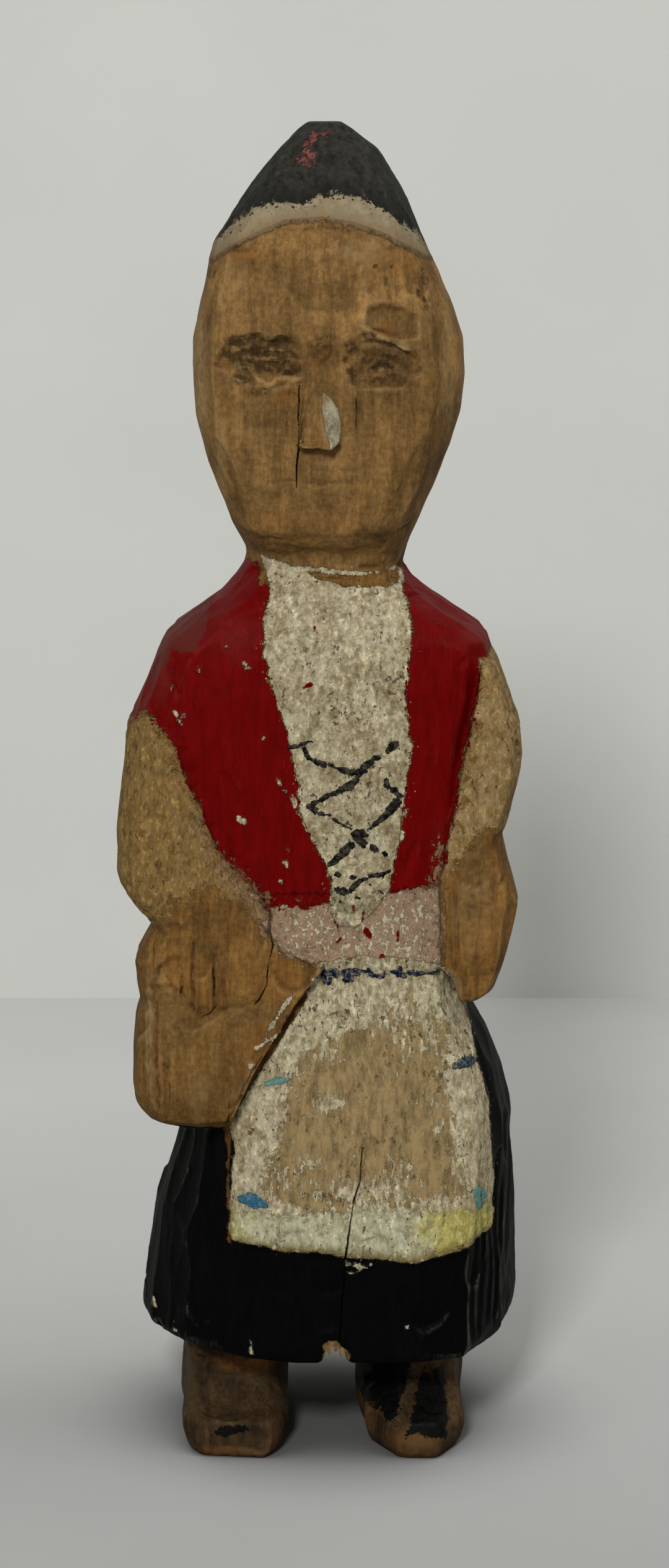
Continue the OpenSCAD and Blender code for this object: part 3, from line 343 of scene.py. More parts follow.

# Places seen from the front: x, z, half width, half height, strength
# Dark places: dirt, and painted shade in the eye sockets, under the nose, under the chin and on the legs under the
# skirt's hem
DIRT_AND_SHADE = [
    (-8.7, 127, 1.5, 0.8, 1), (-10, 125.8, 1, 0.9, 0.75), (-6.6, 127.6, 1.4, 0.5, 0.85), (-4.1, 127.2, 1.5, 0.5, 0.9),
    (-11, 124.5, 0.8, 0.6, 0.5), (-5.3, 124.6, 1.3, 0.95, 1), (-7.4, 124.6, 1.6, 0.6, 0.5), (-3.3, 123.8, 1.4, 0.36, 1),
    (-8.4, 122.9, 1.3, 0.8, 0.7), (-6.6, 121.8, 1.8, 0.9, 0.55), (-3, 121.4, 1.3, 0.7, 0.45),
    (-6.2, 125.2, 5, 2.4, 0.76), (3.2, 126.4, 1.1, 0.9, 0.8), (5.2, 127.5, 0.8, 0.6, 0.85), (6.6, 124.3, 1.5, 0.42, 1),
    (3.4, 123.3, 1.2, 1.3, 0.55), (6.8, 122.9, 3.6, 0.8, 0.6), (10.8, 124.1, 0.9, 0.6, 0.5), (6.6, 125, 4, 2.2, 0.5),
    (4.8, 125.2, 0.7, 0.9, 0.5), (0.6, 125, 3, 1.2, 0.3), (6.4, 128.2, 1.6, 0.4, 0.5), (8.3, 127.9, 1.6, 0.4, 0.35),
    (0.4, 126.4, 2.6, 2.6, 0.5), (1.7, 116, 0.6, 0.4, 0.4), (-0.6, 115.5, 1.8, 0.22, 0.85), (0.6, 113.2, 2.3, 0.2, 0.3),
    (-4.3, 111.8, 1.6, 0.16, 0.35), (-2, 106.4, 5, 1.3, 0.35), (5.6, 106.2, 3.4, 1.2, 0.4),
    (6.8, 105.2, 1.4, 0.5, 0.45), (11, 113.4, 1.8, 5, 0.3), (5.8, 134.8, 0.3, 0.3, 0.9), (7.6, 135, 0.3, 0.3, 0.8),
    (6.9, 133.4, 0.3, 1, 0.6), (10.5, 132, 0.35, 0.5, 1), (11.2, 130.9, 0.4, 0.9, 0.9), (11.1, 133.4, 0.9, 1.8, 0.5),
    (0, 138.9, 5, 0.5, 0.5), (-8.6, 136.6, 2.4, 0.5, 0.5), (8.6, 137, 2, 0.5, 0.45), (-12, 134, 0.8, 1, 0.5),
    (2, 101, 3, 0.3, 0.5), (-13.4, 63.4, 3.4, 2.4, 0.35), (-16, 50.4, 2.6, 2.2, 0.35), (-17, 47.2, 0.6, 0.5, 0.8),
    (-6, 58, 0.9, 4, 0.3), (-13, 39.8, 4, 0.8, 0.4), (19.2, 57.2, 2, 0.7, 0.4), (16, 88.6, 0.9, 2.2, 0.5),
    (16.4, 84, 0.7, 1.6, 0.4), (-16.8, 66.2, 3, 1.6, 0.35), (-14.6, 68.8, 1.2, 0.5, 0.5), (18.6, 74.2, 1.4, 0.5, 0.5),
    (-13.6, 73.6, 1.4, 4, 0.35), (16.4, 71.4, 0.8, 0.6, 0.5), (-8, 11.6, 5, 0.8, 0.6), (-5, 9.6, 1.4, 2.8, 0.6),
    (7, 9.8, 3, 2, 0.9), (12, 11, 3.4, 1, 0.7), (-14.6, 8, 1.4, 3, 0.4), (-11, 3.4, 3, 0.8, 0.3),
    (0.5, 42.2, 0.5, 0.6, 0.9), (1.4, 41.4, 0.4, 0.3, 0.9), (-3.6, 47.6, 1.4, 2.2, 0.3), (-9.6, 5.6, 8, 7, 0.3),
    (-15, 61, 7, 5, 0.24), (-15, 52, 6, 6, 0.2),
]
# Pale places: wood rubbed bare, and painted highlights where the light falls on the edges of the face, the forehead's
# facet, the brow ridge, the lower lids and the upper lip
WEAR_AND_HIGHLIGHTS = [
    (17, 64, 2.6, 6, 0.32), (16.8, 72, 1.6, 3, 0.2), (-13.4, 122, 1.2, 13, 0.75), (13.8, 124, 0.8, 9, 0.5),
    (4.4, 136.2, 3, 1.8, 0.45), (-10.8, 114, 0.8, 6, 0.5), (-9, 133.6, 1.4, 1.6, 0.3), (7.6, 126.5, 3, 0.4, 0.7),
    (5, 128.6, 0.5, 1.2, 0.4), (-8.2, 123.9, 1.2, 0.3, 0.6), (-5.4, 122.5, 1, 0.35, 0.6), (-3.2, 123, 1.2, 0.3, 0.6),
    (-19.2, 50, 0.5, 8, 0.8), (-17.6, 57, 0.7, 1, 0.5), (1.2, 113.9, 2, 0.4, 0.3), (-7.4, 117, 2, 1, 0.2),
    (-5.2, 60.8, 0.4, 1.6, 0.7), (-2.6, 52.6, 0.5, 0.5, 0.4), (-13.6, 43.6, 1.4, 4, 0.2), (-15.2, 9, 1.2, 5, 0.35),
    (1.4, 14, 2, 2.2, 0.45), (15.2, 5.6, 0.9, 5, 0.6), (-8.8, 0.8, 4.4, 0.5, 0.7), (12, 0.8, 3, 0.4, 0.5),
    (11, 2.4, 2.6, 1.4, 0.6), (8.6, 5.6, 0.6, 1.8, 0.6), (-9.6, 11.2, 3.4, 0.35, 0.6), (9.6, 8.6, 0.5, 1.6, 0.7),
    (8.2, 6, 0.6, 1.2, 0.7), (-12.6, 7, 0.4, 2.4, 0.3),
]
WARM = [
    (-8, 68.4, 3, 3.6, 0.8), (-11, 71.6, 2.2, 2, 0.6), (-6.4, 64.4, 1.6, 1.4, 0.6), (-14.8, 56.6, 3.6, 3, 0.25),
    (14, 70, 1.4, 3, 0.5), (17.4, 62, 3, 6, 0.2), (-4.6, 56.4, 2.6, 2.4, 0.4), (-6.4, 48, 3, 4.6, 0.5),
    (-8.6, 9.2, 4.6, 1.4, 0.5), (-11, 0.8, 4, 0.7, 0.5), (-5.4, 2, 1.4, 1.4, 0.25), (10.6, 2, 3.6, 1.8, 0.35),
    (12.6, 10.4, 1.6, 1.4, 0.3), (5, 3.6, 1.4, 2, 0.15), (-11, 124.4, 1.2, 0.9, 0.6), (6.6, 128.2, 1.8, 0.9, 0.5),
    (0.4, 125.4, 3.2, 1.6, 0.4), (-3.2, 121.2, 1.6, 1, 0.5), (-2, 107, 8, 2, 0.25), (8, 135.2, 3, 1.6, 0.4),
    (-8.4, 136.2, 3, 0.8, 0.5), (-15.6, 78.6, 3, 3.6, 0.25), (-13.4, 83.4, 1.4, 2, 0.3), (-10.6, 28, 0.8, 10, 0.35),
]
# Painted sheen: duller, greyer crimson where the light from above falls on the vest's shoulders
SHEEN = [
    (-17.8, 91, 1.5, 4.4, 0.48), (-15.4, 95, 2.2, 2.2, 0.48), (-11.6, 98.4, 2.4, 1.2, 0.36),
    (-20, 86.6, 1.2, 2.6, 0.54), (13, 98, 3, 0.8, 0.36), (17, 94.4, 2.2, 0.9, 0.36), (-10, 95, 2.4, 4, 0.15),
    (13, 72, 1, 5, 0.12),
]
FLAKED = [
    (5.6, 52.6, 8.4, 2.8, 1), (0.2, 49, 3, 2.6, 0.6), (10.6, 50, 3.4, 4, 0.7), (0.8, 42.4, 2, 1.8, 1),
    (12.6, 41, 2, 5, 0.3), (-1.4, 35.4, 2, 1.4, 0.8), (4, 32.6, 7, 1.7, 0.9), (8.6, 34.6, 2.6, 2, 0.8),
    (-4, 33.4, 2, 1.6, 0.4), (15.4, 38, 1.6, 7, 0.55), (-2.2, 47, 1.4, 1.6, 0.3),
]

# Brush strokes seen from the front, as points with a half width in mm
LACING = [
    [(-3.5, 82.5, 0.2), (-2.6, 82.7, 0.26), (-1.1, 83.2, 0.22)],
    [(-1.9, 82.4, 0.3), (-1.5, 81.6, 0.34), (-0.8, 81, 0.3)], [(-0.6, 80.9, 0.36), (0.5, 80.6, 0.42)],
    [(0.9, 80.6, 0.28), (1.6, 80.2, 0.26)], [(1.9, 80.1, 0.34), (2.9, 79.8, 0.42)],
    [(3.4, 79.7, 0.4), (4.8, 79.9, 0.42)], [(8.3, 83, 0.36), (7.8, 82.6, 0.5), (7.3, 82, 0.28)],
    [(6.4, 81.4, 0.36), (5.8, 81.2, 0.34)], [(5.5, 80.9, 0.42), (4.7, 80.2, 0.5), (4.2, 79.4, 0.42)],
    [(3.9, 78.9, 0.36), (3.1, 78.1, 0.55), (2, 77.6, 0.4)],
    [(1.7, 77.4, 0.34), (0.5, 76.9, 0.36), (-0.3, 76.5, 0.26), (-1.2, 75.9, 0.4)],
    [(-1.3, 75.9, 0.42), (-0.6, 75.4, 0.42)], [(-0.1, 75.1, 0.26), (1, 74.9, 0.22)],
    [(1.4, 74.4, 0.26), (2.6, 73.7, 0.24), (3.4, 73.3, 0.12)], [(7.2, 78.8, 0.34), (7.4, 78.2, 0.42)],
    [(8, 77.7, 0.4), (8.8, 77, 0.34)], [(8.4, 76.4, 0.62), (7.9, 75.6, 0.6), (7.2, 75, 0.44)],
    [(7, 74.7, 0.38), (6, 73.9, 0.3), (5.4, 73.3, 0.16)], [(3.7, 72.9, 0.5), (4.5, 72.8, 0.6), (4.9, 72.6, 0.4)],
    [(4.2, 72.2, 0.66), (4.7, 71.6, 0.5)], [(3.3, 71.4, 0.5), (2.4, 70.6, 0.6), (1.2, 69.4, 0.42), (0.7, 69, 0.16)],
    [(5.8, 71.2, 0.44), (6, 71, 0.42)], [(7, 70.5, 0.36), (7.2, 70.3, 0.34)],
    [(7.6, 68.5, 0.24), (6.8, 68.1, 0.34), (5.4, 68, 0.3)], [(5, 67.7, 0.32), (4, 67.1, 0.36), (3.3, 66.4, 0.4)],
    [(1.8, 68.1, 0.34), (2, 68, 0.3)], [(3.5, 67.8, 0.32), (3.7, 67.8, 0.26)],
    [(1.9, 66.4, 0.44), (2.7, 66.2, 0.5), (3.2, 66.2, 0.3)], [(5.3, 67, 0.1), (6.9, 65.9, 0.14)],
    [(2.1, 65, 0.2), (2.3, 64.9, 0.14)], [(3.9, 65.4, 0.24), (4.3, 65.3, 0.16)],
]
BLUE = [
    [(-0.3, 57, 0.39), (0.7, 56.9, 0.55), (1.7, 56.8, 0.44)], [(0.2, 57.5, 0.26), (0.4, 56.2, 0.44), (0.3, 55.8, 0.21)],
    [(1, 56.4, 0.31), (0.9, 55.7, 0.26)], [(2.6, 56.9, 0.47), (3.4, 56.8, 0.65), (4.1, 57.1, 0.39)],
    [(2.6, 56.2, 0.31), (3.4, 56.3, 0.47)], [(4.7, 57.2, 0.21), (4.9, 57.1, 0.26)],
    [(5.3, 57.2, 0.34), (5.8, 56.7, 0.39)], [(6.2, 56.6, 0.34), (6.9, 56.5, 0.31), (7.1, 57.1, 0.16)],
    [(8, 57, 0.29), (8.7, 56.8, 0.52), (9.4, 56.5, 0.31)], [(8.8, 57.4, 0.26), (8.9, 57.1, 0.26)],
    [(9.9, 56.8, 0.39), (10.2, 56.8, 0.34)], [(10.6, 56.6, 0.29), (11.6, 56.7, 0.21)],
    [(11.9, 56.7, 0.21), (12.9, 56.8, 0.29), (13, 57.1, 0.13)],
    [(15, 46.3, 0.4), (15.9, 46.6, 0.62), (16.6, 46.5, 0.6), (17.3, 46.3, 0.36)],
    [(-6.1, 44.4, 0.3), (-5.2, 44.7, 0.44), (-4.4, 44.8, 0.42), (-3.7, 45.1, 0.26)],
    [(-9.1, 30.9, 0.4), (-8.2, 31, 0.86), (-7.2, 30.7, 0.76), (-6.3, 30.5, 0.4)],
    [(17.6, 31.9, 0.5), (18, 30.9, 0.8), (18, 29.9, 0.5)],
]

# Places of the lamps and the camera, in metres, and the camera's tilt down in degrees
KEY_PLACE = (-0.12, -0.62, 0.49)
TOP_PLACE = (0.32, -0.02, 0.72)
EYE_PLACE = (0.0015, -0.380, 0.156)
EYE_TILT = 11.92
EYE_LENS = 78.17

# Settings and output of a node that mixes colours
COLOURS = {"data_type": "RGBA", "out": 2}

WORLD_UP = np.array([0.0, 0.0, 1.0])
FRONT = np.array([0.0, -1.0, 0.0])


def to_linear(hex_colour):
    """Turn an sRGB hex value such as #7a5a32 into linear red, green and blue."""
    parts = [int(hex_colour[i:i + 2], 16) / 255 for i in (1, 3, 5)]
    return tuple(p / 12.92 if p <= 0.04045 else ((p + 0.055) / 1.055) ** 2.4 for p in parts)


def size_prop(name, default_mm, text):
    """A length that a user may change, kept in metres."""
    return bpy.props.FloatProperty(
        name=name, description=text, default=default_mm * MM, min=0, unit="LENGTH", precision=5)


def colour_prop(name, hex_colour, text):
    """A colour that a user may change, given as an sRGB hex value."""
    return bpy.props.FloatVectorProperty(
        name=name, description=text, default=to_linear(hex_colour), subtype="COLOR", size=3, min=0, max=1)


class FigureCarving(bpy.types.PropertyGroup):
    """Sizes of the knife work."""

    grain_size: size_prop("Mesh size", 0.28, "Spacing of the carved mesh")
    quick_size: size_prop("Quick mesh size", 0.45, "Spacing of the carved mesh in a quick look")
    facet_w: size_prop("Facet width", 3.1, "Half the usual width of a knife facet")
    facet_l: size_prop("Facet length", 7.5, "Half the usual length of a knife facet")
    facet_deep: size_prop("Facet depth", 0.3, "Usual depth of a knife facet")
    facet_gap: size_prop("Facet spacing", 4.6, "Least distance between the middles of two facets")
    crust: size_prop("Paint crust", 0.13, "Height of the lumps in the thick cream paint")
    stroke_thick: size_prop("Stroke thickness", 0.14, "Thickness of a brush stroke")
    dowel_gap: size_prop("Dowel gap", 0.05, "Radius left free between a dowel and its bore")
    seed: bpy.props.IntProperty(name="Seed", description="Start of the random knife work", default=11, min=0)


class FigurePaint(bpy.types.PropertyGroup):
    """Colours of the bare wood and of each coat."""

    face_wood: colour_prop("Face wood", "#7b5d35", "Bare wood of the face")
    face_dark: colour_prop("Face grain", "#5c4323", "Grain lines of the face")
    hand_wood: colour_prop("Hand wood", "#745429", "Bare wood of the hands")
    hand_dark: colour_prop("Hand grain", "#52381a", "Grain lines of the hands")
    bag_wood: colour_prop("Bag wood", "#71552d", "Bare wood of the bag")
    bag_dark: colour_prop("Bag grain", "#55391b", "Grain lines of the bag")
    sleeve: colour_prop("Sleeve", "#897350", "Worn cream paint of the sleeves")
    sleeve_dull: colour_prop("Dull sleeve", "#614a24", "Dirty paint of the sleeves")
    sleeve_brown: colour_prop("Browned sleeve", "#7c623b", "Cream paint of the right sleeve, browned by wear")
    sleeve_brown_dull: colour_prop("Dark of the browned sleeve", "#543f1e", "Its most worn places")
    # The shoes' wood is drawn darker than its stain, as painted shade that the skirt casts on the feet and legs
    shoe_wood: colour_prop("Shoe", "#3f301e", "Stained wood of the shoes")
    shoe_dark: colour_prop("Shoe grain", "#21170d", "Grain of the shoes")
    shoe_edge: colour_prop("Shoe edge", "#5a452b", "Rubbed edges of the shoes")
    warm_wood: colour_prop("Warm wood", "#7a4c20", "Orange brown wood where paint was rubbed off")
    # This colour also draws the painted highlights of the face
    bare_edge: colour_prop("Bare edge", "#8a744f", "Wood rubbed bare and pale at edges")
    # This colour also draws the painted shade among the dark places of the front
    dirt: colour_prop("Dirt", "#291d10", "Dirt in hollows and cracks")
    black: colour_prop("Black", "#050505", "Black paint of the skirt")
    black_worn: colour_prop("Worn black", "#4c4b45", "Rubbed black paint")
    cap_black: colour_prop("Cap black", "#2e2d28", "Black paint of the cap")
    cap_red: colour_prop("Cap mark", "#74403a", "Red mark near the cap's tip")
    cap_red_dull: colour_prop("Dark of the cap mark", "#3e2420", "Its dirty places")
    shoe_black: colour_prop("Shoe black", "#0c0b0a", "What is left of black paint on the shoes")
    grime: colour_prop("Grime", "#6d5936", "Brown patches on the cream paint")
    band: colour_prop("Cap band", "#857960", "Cream paint of the band under the cap")
    band_low: colour_prop("Cap band foot", "#73593a", "Thin brownish paint at the foot of the band")
    red: colour_prop("Crimson", "#620303", "Crimson paint of the vest")
    red_deep: colour_prop("Deep crimson", "#520202", "Thicker crimson paint")
    # Duller, greyer crimson for the painted sheen on the shoulders; the vest's ridges are rubbed to it too
    red_sheen: colour_prop("Dusty crimson", "#682d25", "Crimson paint rubbed dull on the shoulders")
    cream: colour_prop("Cream", "#b3a98d", "Thick cream paint")
    cream_dull: colour_prop("Dull cream", "#71664b", "Dirty cream paint")
    pit: colour_prop("Pits", "#463822", "Dirt in the pits of the cream paint")
    pink: colour_prop("Pinkish cream", "#816a55", "Thin pinkish paint of the waistband")
    smear: colour_prop("Smear", "#85694b", "Thin brownish paint dragged over the vest's border")
    tan: colour_prop("Tan", "#84704c", "Worn middle of the apron")
    yellow: colour_prop("Yellow", "#b0a866", "Yellow paint of the apron's lower band")
    pale_green: colour_prop("Pale green", "#b2b094", "Faded paint of the apron's lower band")
    ochre: colour_prop("Ochre", "#75652f", "Lower edge of the apron's band")
    navy: colour_prop("Navy", "#04142a", "Dark blue of the stitches")
    blue: colour_prop("Blue", "#28536c", "Blue of the stray marks")
    teal: colour_prop("Teal", "#4c7a74", "Thin blue that lets cream show through")
    dowel: colour_prop("Dowel", "#c4a878", "Fresh dowel wood")


class FigureStage(bpy.types.PropertyGroup):
    """Floor, backdrop and lamps."""

    floor: colour_prop("Floor", "#b3b3b1", "Colour of the floor")
    wall: colour_prop("Wall", "#c9cac4", "Colour of the backdrop")
    wall_y: size_prop("Wall distance", 182, "How far the backdrop stands behind the figure")
    sky: bpy.props.FloatProperty(name="Sky", description="Strength of the even light", default=0.42, min=0)
    key: bpy.props.FloatProperty(
        name="Key lamp", description="Power of the main lamp", default=4.5, min=0, subtype="POWER")
    top: bpy.props.FloatProperty(
        name="Top lamp", description="Power of the lamp overhead", default=1.5, min=0, subtype="POWER")


def read_rows(items, name, width, kind=np.float32):
    """One row of numbers for each item of a Blender collection."""
    flat = np.empty(len(items) * width, kind)
    items.foreach_get(name, flat)
    return flat.reshape(-1, width)


def read_vertices(mesh):
    """Vertex positions in mm, one row each."""
    return read_rows(mesh.vertices, "co", 3).astype(float) / MM


def write_vertices(mesh, points):
    """Put positions in mm back on a mesh."""
    mesh.vertices.foreach_set("co", (points * MM).astype(np.float32).ravel())
    mesh.update()


def read_normals(mesh):
    """Vertex normals, one row each."""
    return read_rows(mesh.vertex_normals, "vector", 3).astype(float)


def read_edges(mesh):
    """Vertex numbers of each edge, one row each."""
    return read_rows(mesh.edges, "vertices", 2, np.int32)


def blur(values, edges, rounds, share=0.5):
    """Average each vertex's values with its neighbours', over and over."""
    count = np.bincount(edges.ravel(), minlength=len(values)).clip(1)
    for _ in range(rounds):
        total = np.stack([
            np.bincount(edges[:, 0], values[edges[:, 1], k], len(values))
            + np.bincount(edges[:, 1], values[edges[:, 0], k], len(values))
            for k in range(values.shape[1])
        ], axis=1)
        values = values + share * (total / count[:, None] - values)
    return values


def lattice_noise(points, bump, seed):
    """Smooth noise from -1 to 1 with bumps about bump mm across."""
    cell = np.floor(points / bump).astype(np.int64)
    part = points / bump - cell
    part = part * part * (3 - 2 * part)
    total = np.zeros(len(points))
    for corner in range(8):
        step = np.array([corner & 1, corner >> 1 & 1, corner >> 2 & 1])
        weight = np.prod(np.where(step == 1, part, 1 - part), axis=1)
        key = (cell + step) @ np.array([73856093, 19349663, 83492791]) + seed * 7919
        key = ((key ^ (key >> 13)) * 1274126177) & 0xFFFFFFFF
        total += weight * (((key ^ (key >> 15)) & 0xFFFF) / 32767.5 - 1)
    return total


def inside_distance(points, outline):
    """How far inside an outline seen from the front each point is, in mm; negative outside."""
    x, z = points[:, 0], points[:, 2]
    near = stroke_distance(points, outline + outline[:1])
    inside = np.zeros(len(x), bool)
    for (ax, az), (bx, bz) in zip(outline, outline[1:] + outline[:1]):
        if az != bz:
            inside ^= ((az > z) != (bz > z)) & (x < (bx - ax) * (z - az) / (bz - az) + ax)
    return np.where(inside, near, -near)


def any_outline(points, outlines):
    """How far inside the nearest of several outlines every point is, in mm."""
    return np.maximum.reduce([inside_distance(points, outline) for outline in outlines])


def stroke_distance(points, line):
    """Distance in mm, seen from the front, past the edge of a stroke.

    A point of the line may have a half width as its third number. Without one the line is a hair line.
    """
    x, z = points[:, 0], points[:, 2]
    past = np.full(len(x), 1e9)
    line = [(*place, 0)[:3] for place in line]
    for (ax, az, ar), (bx, bz, br) in zip(line, line[1:]):
        ex, ez = bx - ax, bz - az
        along = np.clip(((x - ax) * ex + (z - az) * ez) / (ex * ex + ez * ez), 0, 1)
        past = np.minimum(past, np.hypot(x - ax - along * ex, z - az - along * ez) - ar - along * (br - ar))
    return past


def any_stroke(points, strokes):
    """How far inside the nearest of several strokes every point is, in mm."""
    return np.maximum.reduce([-stroke_distance(points, line) for line in strokes])


def strayed(points, amount, bump, seed):
    """Points moved about seen from the front, so that what is drawn at them comes out with an unsteady hand."""
    moved = points.copy()
    moved[:, 0] += amount * lattice_noise(points, bump, seed)
    moved[:, 2] += amount * lattice_noise(points, bump, seed + 1)
    return moved


def edge_height(x, line):
    """Height in mm of an upper or lower edge over the place x."""
    return np.interp(x, [p[0] for p in line], [p[1] for p in line])


def smooth_step(values, low, high):
    """Ease from 0 below low to 1 above high."""
    share = np.clip((values - low) / (high - low), 0, 1)
    return share * share * (3 - 2 * share)


def ellipse_share(points, places):
    """Strongest of several soft ellipses seen from the front, from 0 to 1."""
    share = np.zeros(len(points))
    for x, z, half_w, half_h, strength in places:
        away = np.hypot((points[:, 0] - x) / half_w, (points[:, 2] - z) / half_h)
        share = np.maximum(share, strength * smooth_step(-away, -1.25, -0.35))
    return share


def coat_distances(points):
    """How far inside the edge of each coat of paint every point is, in mm."""
    y = points[:, 1]
    front = -3.0 - y
    arm = ARM_BACK + 3 + 0.8 * lattice_noise(points, 3, 5) - y
    drawn = strayed(points, 0.14, 0.9, 51)
    arms = np.minimum(any_outline(drawn, (RIGHT_ARM_OUTLINE, LEFT_ARM_OUTLINE)), arm)
    blouse = np.minimum(inside_distance(drawn, BLOUSE_OUTLINE), front)
    bare_neck = inside_distance(drawn, BARE_NECK_OUTLINE)
    apron = np.minimum(inside_distance(drawn, APRON_OUTLINE), front)
    bare = np.minimum(any_stroke(drawn, (BARE_STRIP, BARE_NOTCH)), front)
    vest = np.minimum.reduce([inside_distance(drawn, VEST_OUTLINE), -arms, -blouse])
    sleeves = any_outline(drawn, (RIGHT_SLEEVE_OUTLINE, LEFT_SLEEVE_OUTLINE))
    return {
        "coat_cap": points[:, 2] - edge_height(points[:, 0], CAP_EDGE),
        "coat_band": points[:, 2] - edge_height(points[:, 0], BAND_EDGE),
        "coat_cap_red": np.minimum(any_stroke(drawn, CAP_RED), front),
        "coat_nose": np.minimum(inside_distance(points, NOSE_WHITE), front),
        "coat_cream": np.minimum(blouse, -bare_neck),
        "coat_red": vest,
        "coat_sleeve": np.minimum(sleeves, arm),
        "coat_waist": np.minimum.reduce([inside_distance(drawn, WAIST_OUTLINE), -arms, -blouse + 1.5]),
        "coat_apron": apron,
        "coat_smear": np.minimum(any_stroke(drawn, SMEARS), front),
        "coat_fringe": np.minimum(any_stroke(drawn, FRINGE), front),
        "coat_speck": np.minimum(any_stroke(drawn, RED_SPECKS), front),
        "coat_tan": np.minimum(inside_distance(drawn, TAN_OUTLINE), front),
        "coat_hem": np.minimum(inside_distance(drawn, HEM_OUTLINE), apron),
        "coat_skirt": np.minimum.reduce([
            WAIST_Z + 3 - points[:, 2], points[:, 2] - HEM_Z + 0.1, -arms, -apron, -bare]),
        "dark_facet": any_outline(drawn, SHADE_AND_DIRT_FACETS),
        "pale_facet": any_outline(drawn, HIGHLIGHT_FACETS),
        "dusty_facet": any_outline(drawn, SHEEN_FACETS),
        "coat_shoe": any_outline(drawn, (LEFT_SHOE_BLACK, LEFT_SHOE_INNER, RIGHT_SHOE_MARK)),
    }


def front_share(points, normals):
    """1 where a point lies on the front of the figure, 0 on its sides and back."""
    return smooth_step(-normals[:, 1], 0.15, 0.5) * smooth_step(-points[:, 1], 1, 3)


def knife_cut(points, normals, rows, at, normal, along, half_w, half_l, deep):
    """Clip the points of rows under one shallow facet, deep at its middle and nothing at its rim."""
    offset = points[rows] - at
    height = offset @ normal
    share = ((offset @ np.cross(along, normal)) / half_w) ** 2 + ((offset @ along) / half_l) ** 2
    floor = deep * (share - 1)
    hit = (share < 1) & (height > floor) & (height < 3) & (normals[rows] @ normal > 0.6)
    if not hit.any():
        return
    floor = floor + max(0, (height[hit] - floor[hit]).max() - 0.3 - deep)
    hit &= height > floor
    points[rows[hit]] -= np.outer(height[hit] - floor[hit], normal)


def turned(normal, degrees):
    """The upright direction in a facet's plane, turned about its normal."""
    up = WORLD_UP - normal * (normal @ WORLD_UP)
    if np.linalg.norm(up) < 0.35:
        up = FRONT - normal * (normal @ FRONT)
    up /= np.linalg.norm(up)
    angle = math.radians(degrees)
    return up * math.cos(angle) + np.cross(normal, up) * math.sin(angle)


def calm_share(points):
    """How much of the random knife work a place gets: the front was carved and painted with more care."""
    share = np.ones(len(points))
    front = smooth_step(-points[:, 1], 6, 9)
    x, z = points[:, 0], points[:, 2]
    face = front * smooth_step(z, NECK_Z, NECK_Z + 3) * smooth_step(13 - np.abs(x), 0, 2)
    share -= 0.8 * face
    dress = front * smooth_step(np.minimum(inside_distance(points, VEST_OUTLINE), 9), -1, 1)
    share -= 0.55 * dress
    apron = front * smooth_step(inside_distance(points, APRON_OUTLINE), -1, 1)
    return np.clip(share - 0.7 * apron, 0.12, 1)


def whittle(points, normals, carving):
    """Cover the block with random knife facets, mostly along the grain, and cut those chosen for the front."""
    rng = np.random.default_rng(carving.seed)
    level = np.argsort(points[:, 2])
    sorted_z = points[level, 2]
    start = points.copy()
    calm = calm_share(points)
    gap = carving.facet_gap / MM
    half_w, half_l, deep = carving.facet_w / MM, carving.facet_l / MM, carving.facet_deep / MM

    def rows_near(z, reach):
        return level[np.searchsorted(sorted_z, z - reach):np.searchsorted(sorted_z, z + reach)]

    chosen = np.empty((0, 3))
    for index in rng.permutation(len(points))[:FACET_TRIES]:
        at = start[index]
        if len(chosen) and (((chosen - at) ** 2).sum(1) < gap * gap).any():
            continue
        chosen = np.vstack([chosen, at])
        normal = normals[index] / np.linalg.norm(normals[index])
        width = half_w * rng.uniform(0.7, 1.3)
        length = half_l * rng.uniform(0.55, 1.25)
        depth = deep * rng.uniform(0.35, 1.2) * calm[index]
        turn = rng.normal(0, 14)
        if at[2] < SOLE_EDGE:
            continue
        length *= 0.45 + 0.55 * (1 - abs(normal[2]))
        knife_cut(points, normals, rows_near(at[2], length + 1), at, normal, turned(normal, turn), width, length, depth)
    for x, z, width, length, turn, depth in FACETS:
        near = np.hypot(start[:, 0] - x, start[:, 2] - z) + 1e3 * (start[:, 1] > 0)
        close = np.flatnonzero(near < near.min() + 0.4)
        index = close[np.argmin(start[close, 1])]
        normal = normals[close].mean(0) / np.linalg.norm(normals[close].mean(0))
        rows = rows_near(z, length + width)
        knife_cut(points, normals, rows, start[index], normal, turned(normal, turn), width, length, depth)
    return points


def widen_toes(points):
    """Broaden the fronts of the shoes towards the ground, where they are as wide as at the back."""
    share = smooth_step(-points[:, 1], 5, 11) * smooth_step(-points[:, 2], -8, -2.5)
    for middle, width in ((-10.1, 0.14), (10.5, 0.2)):
        foot = np.abs(points[:, 0] - middle) < 9
        points[:, 0] += np.where(foot, width * share * (points[:, 0] - middle), 0)


def shaped(work, name):
    """The mesh that mesh work gives, under a name."""
    mesh = bpy.data.meshes.new(name)
    work.to_mesh(mesh)
    work.free()
    return mesh


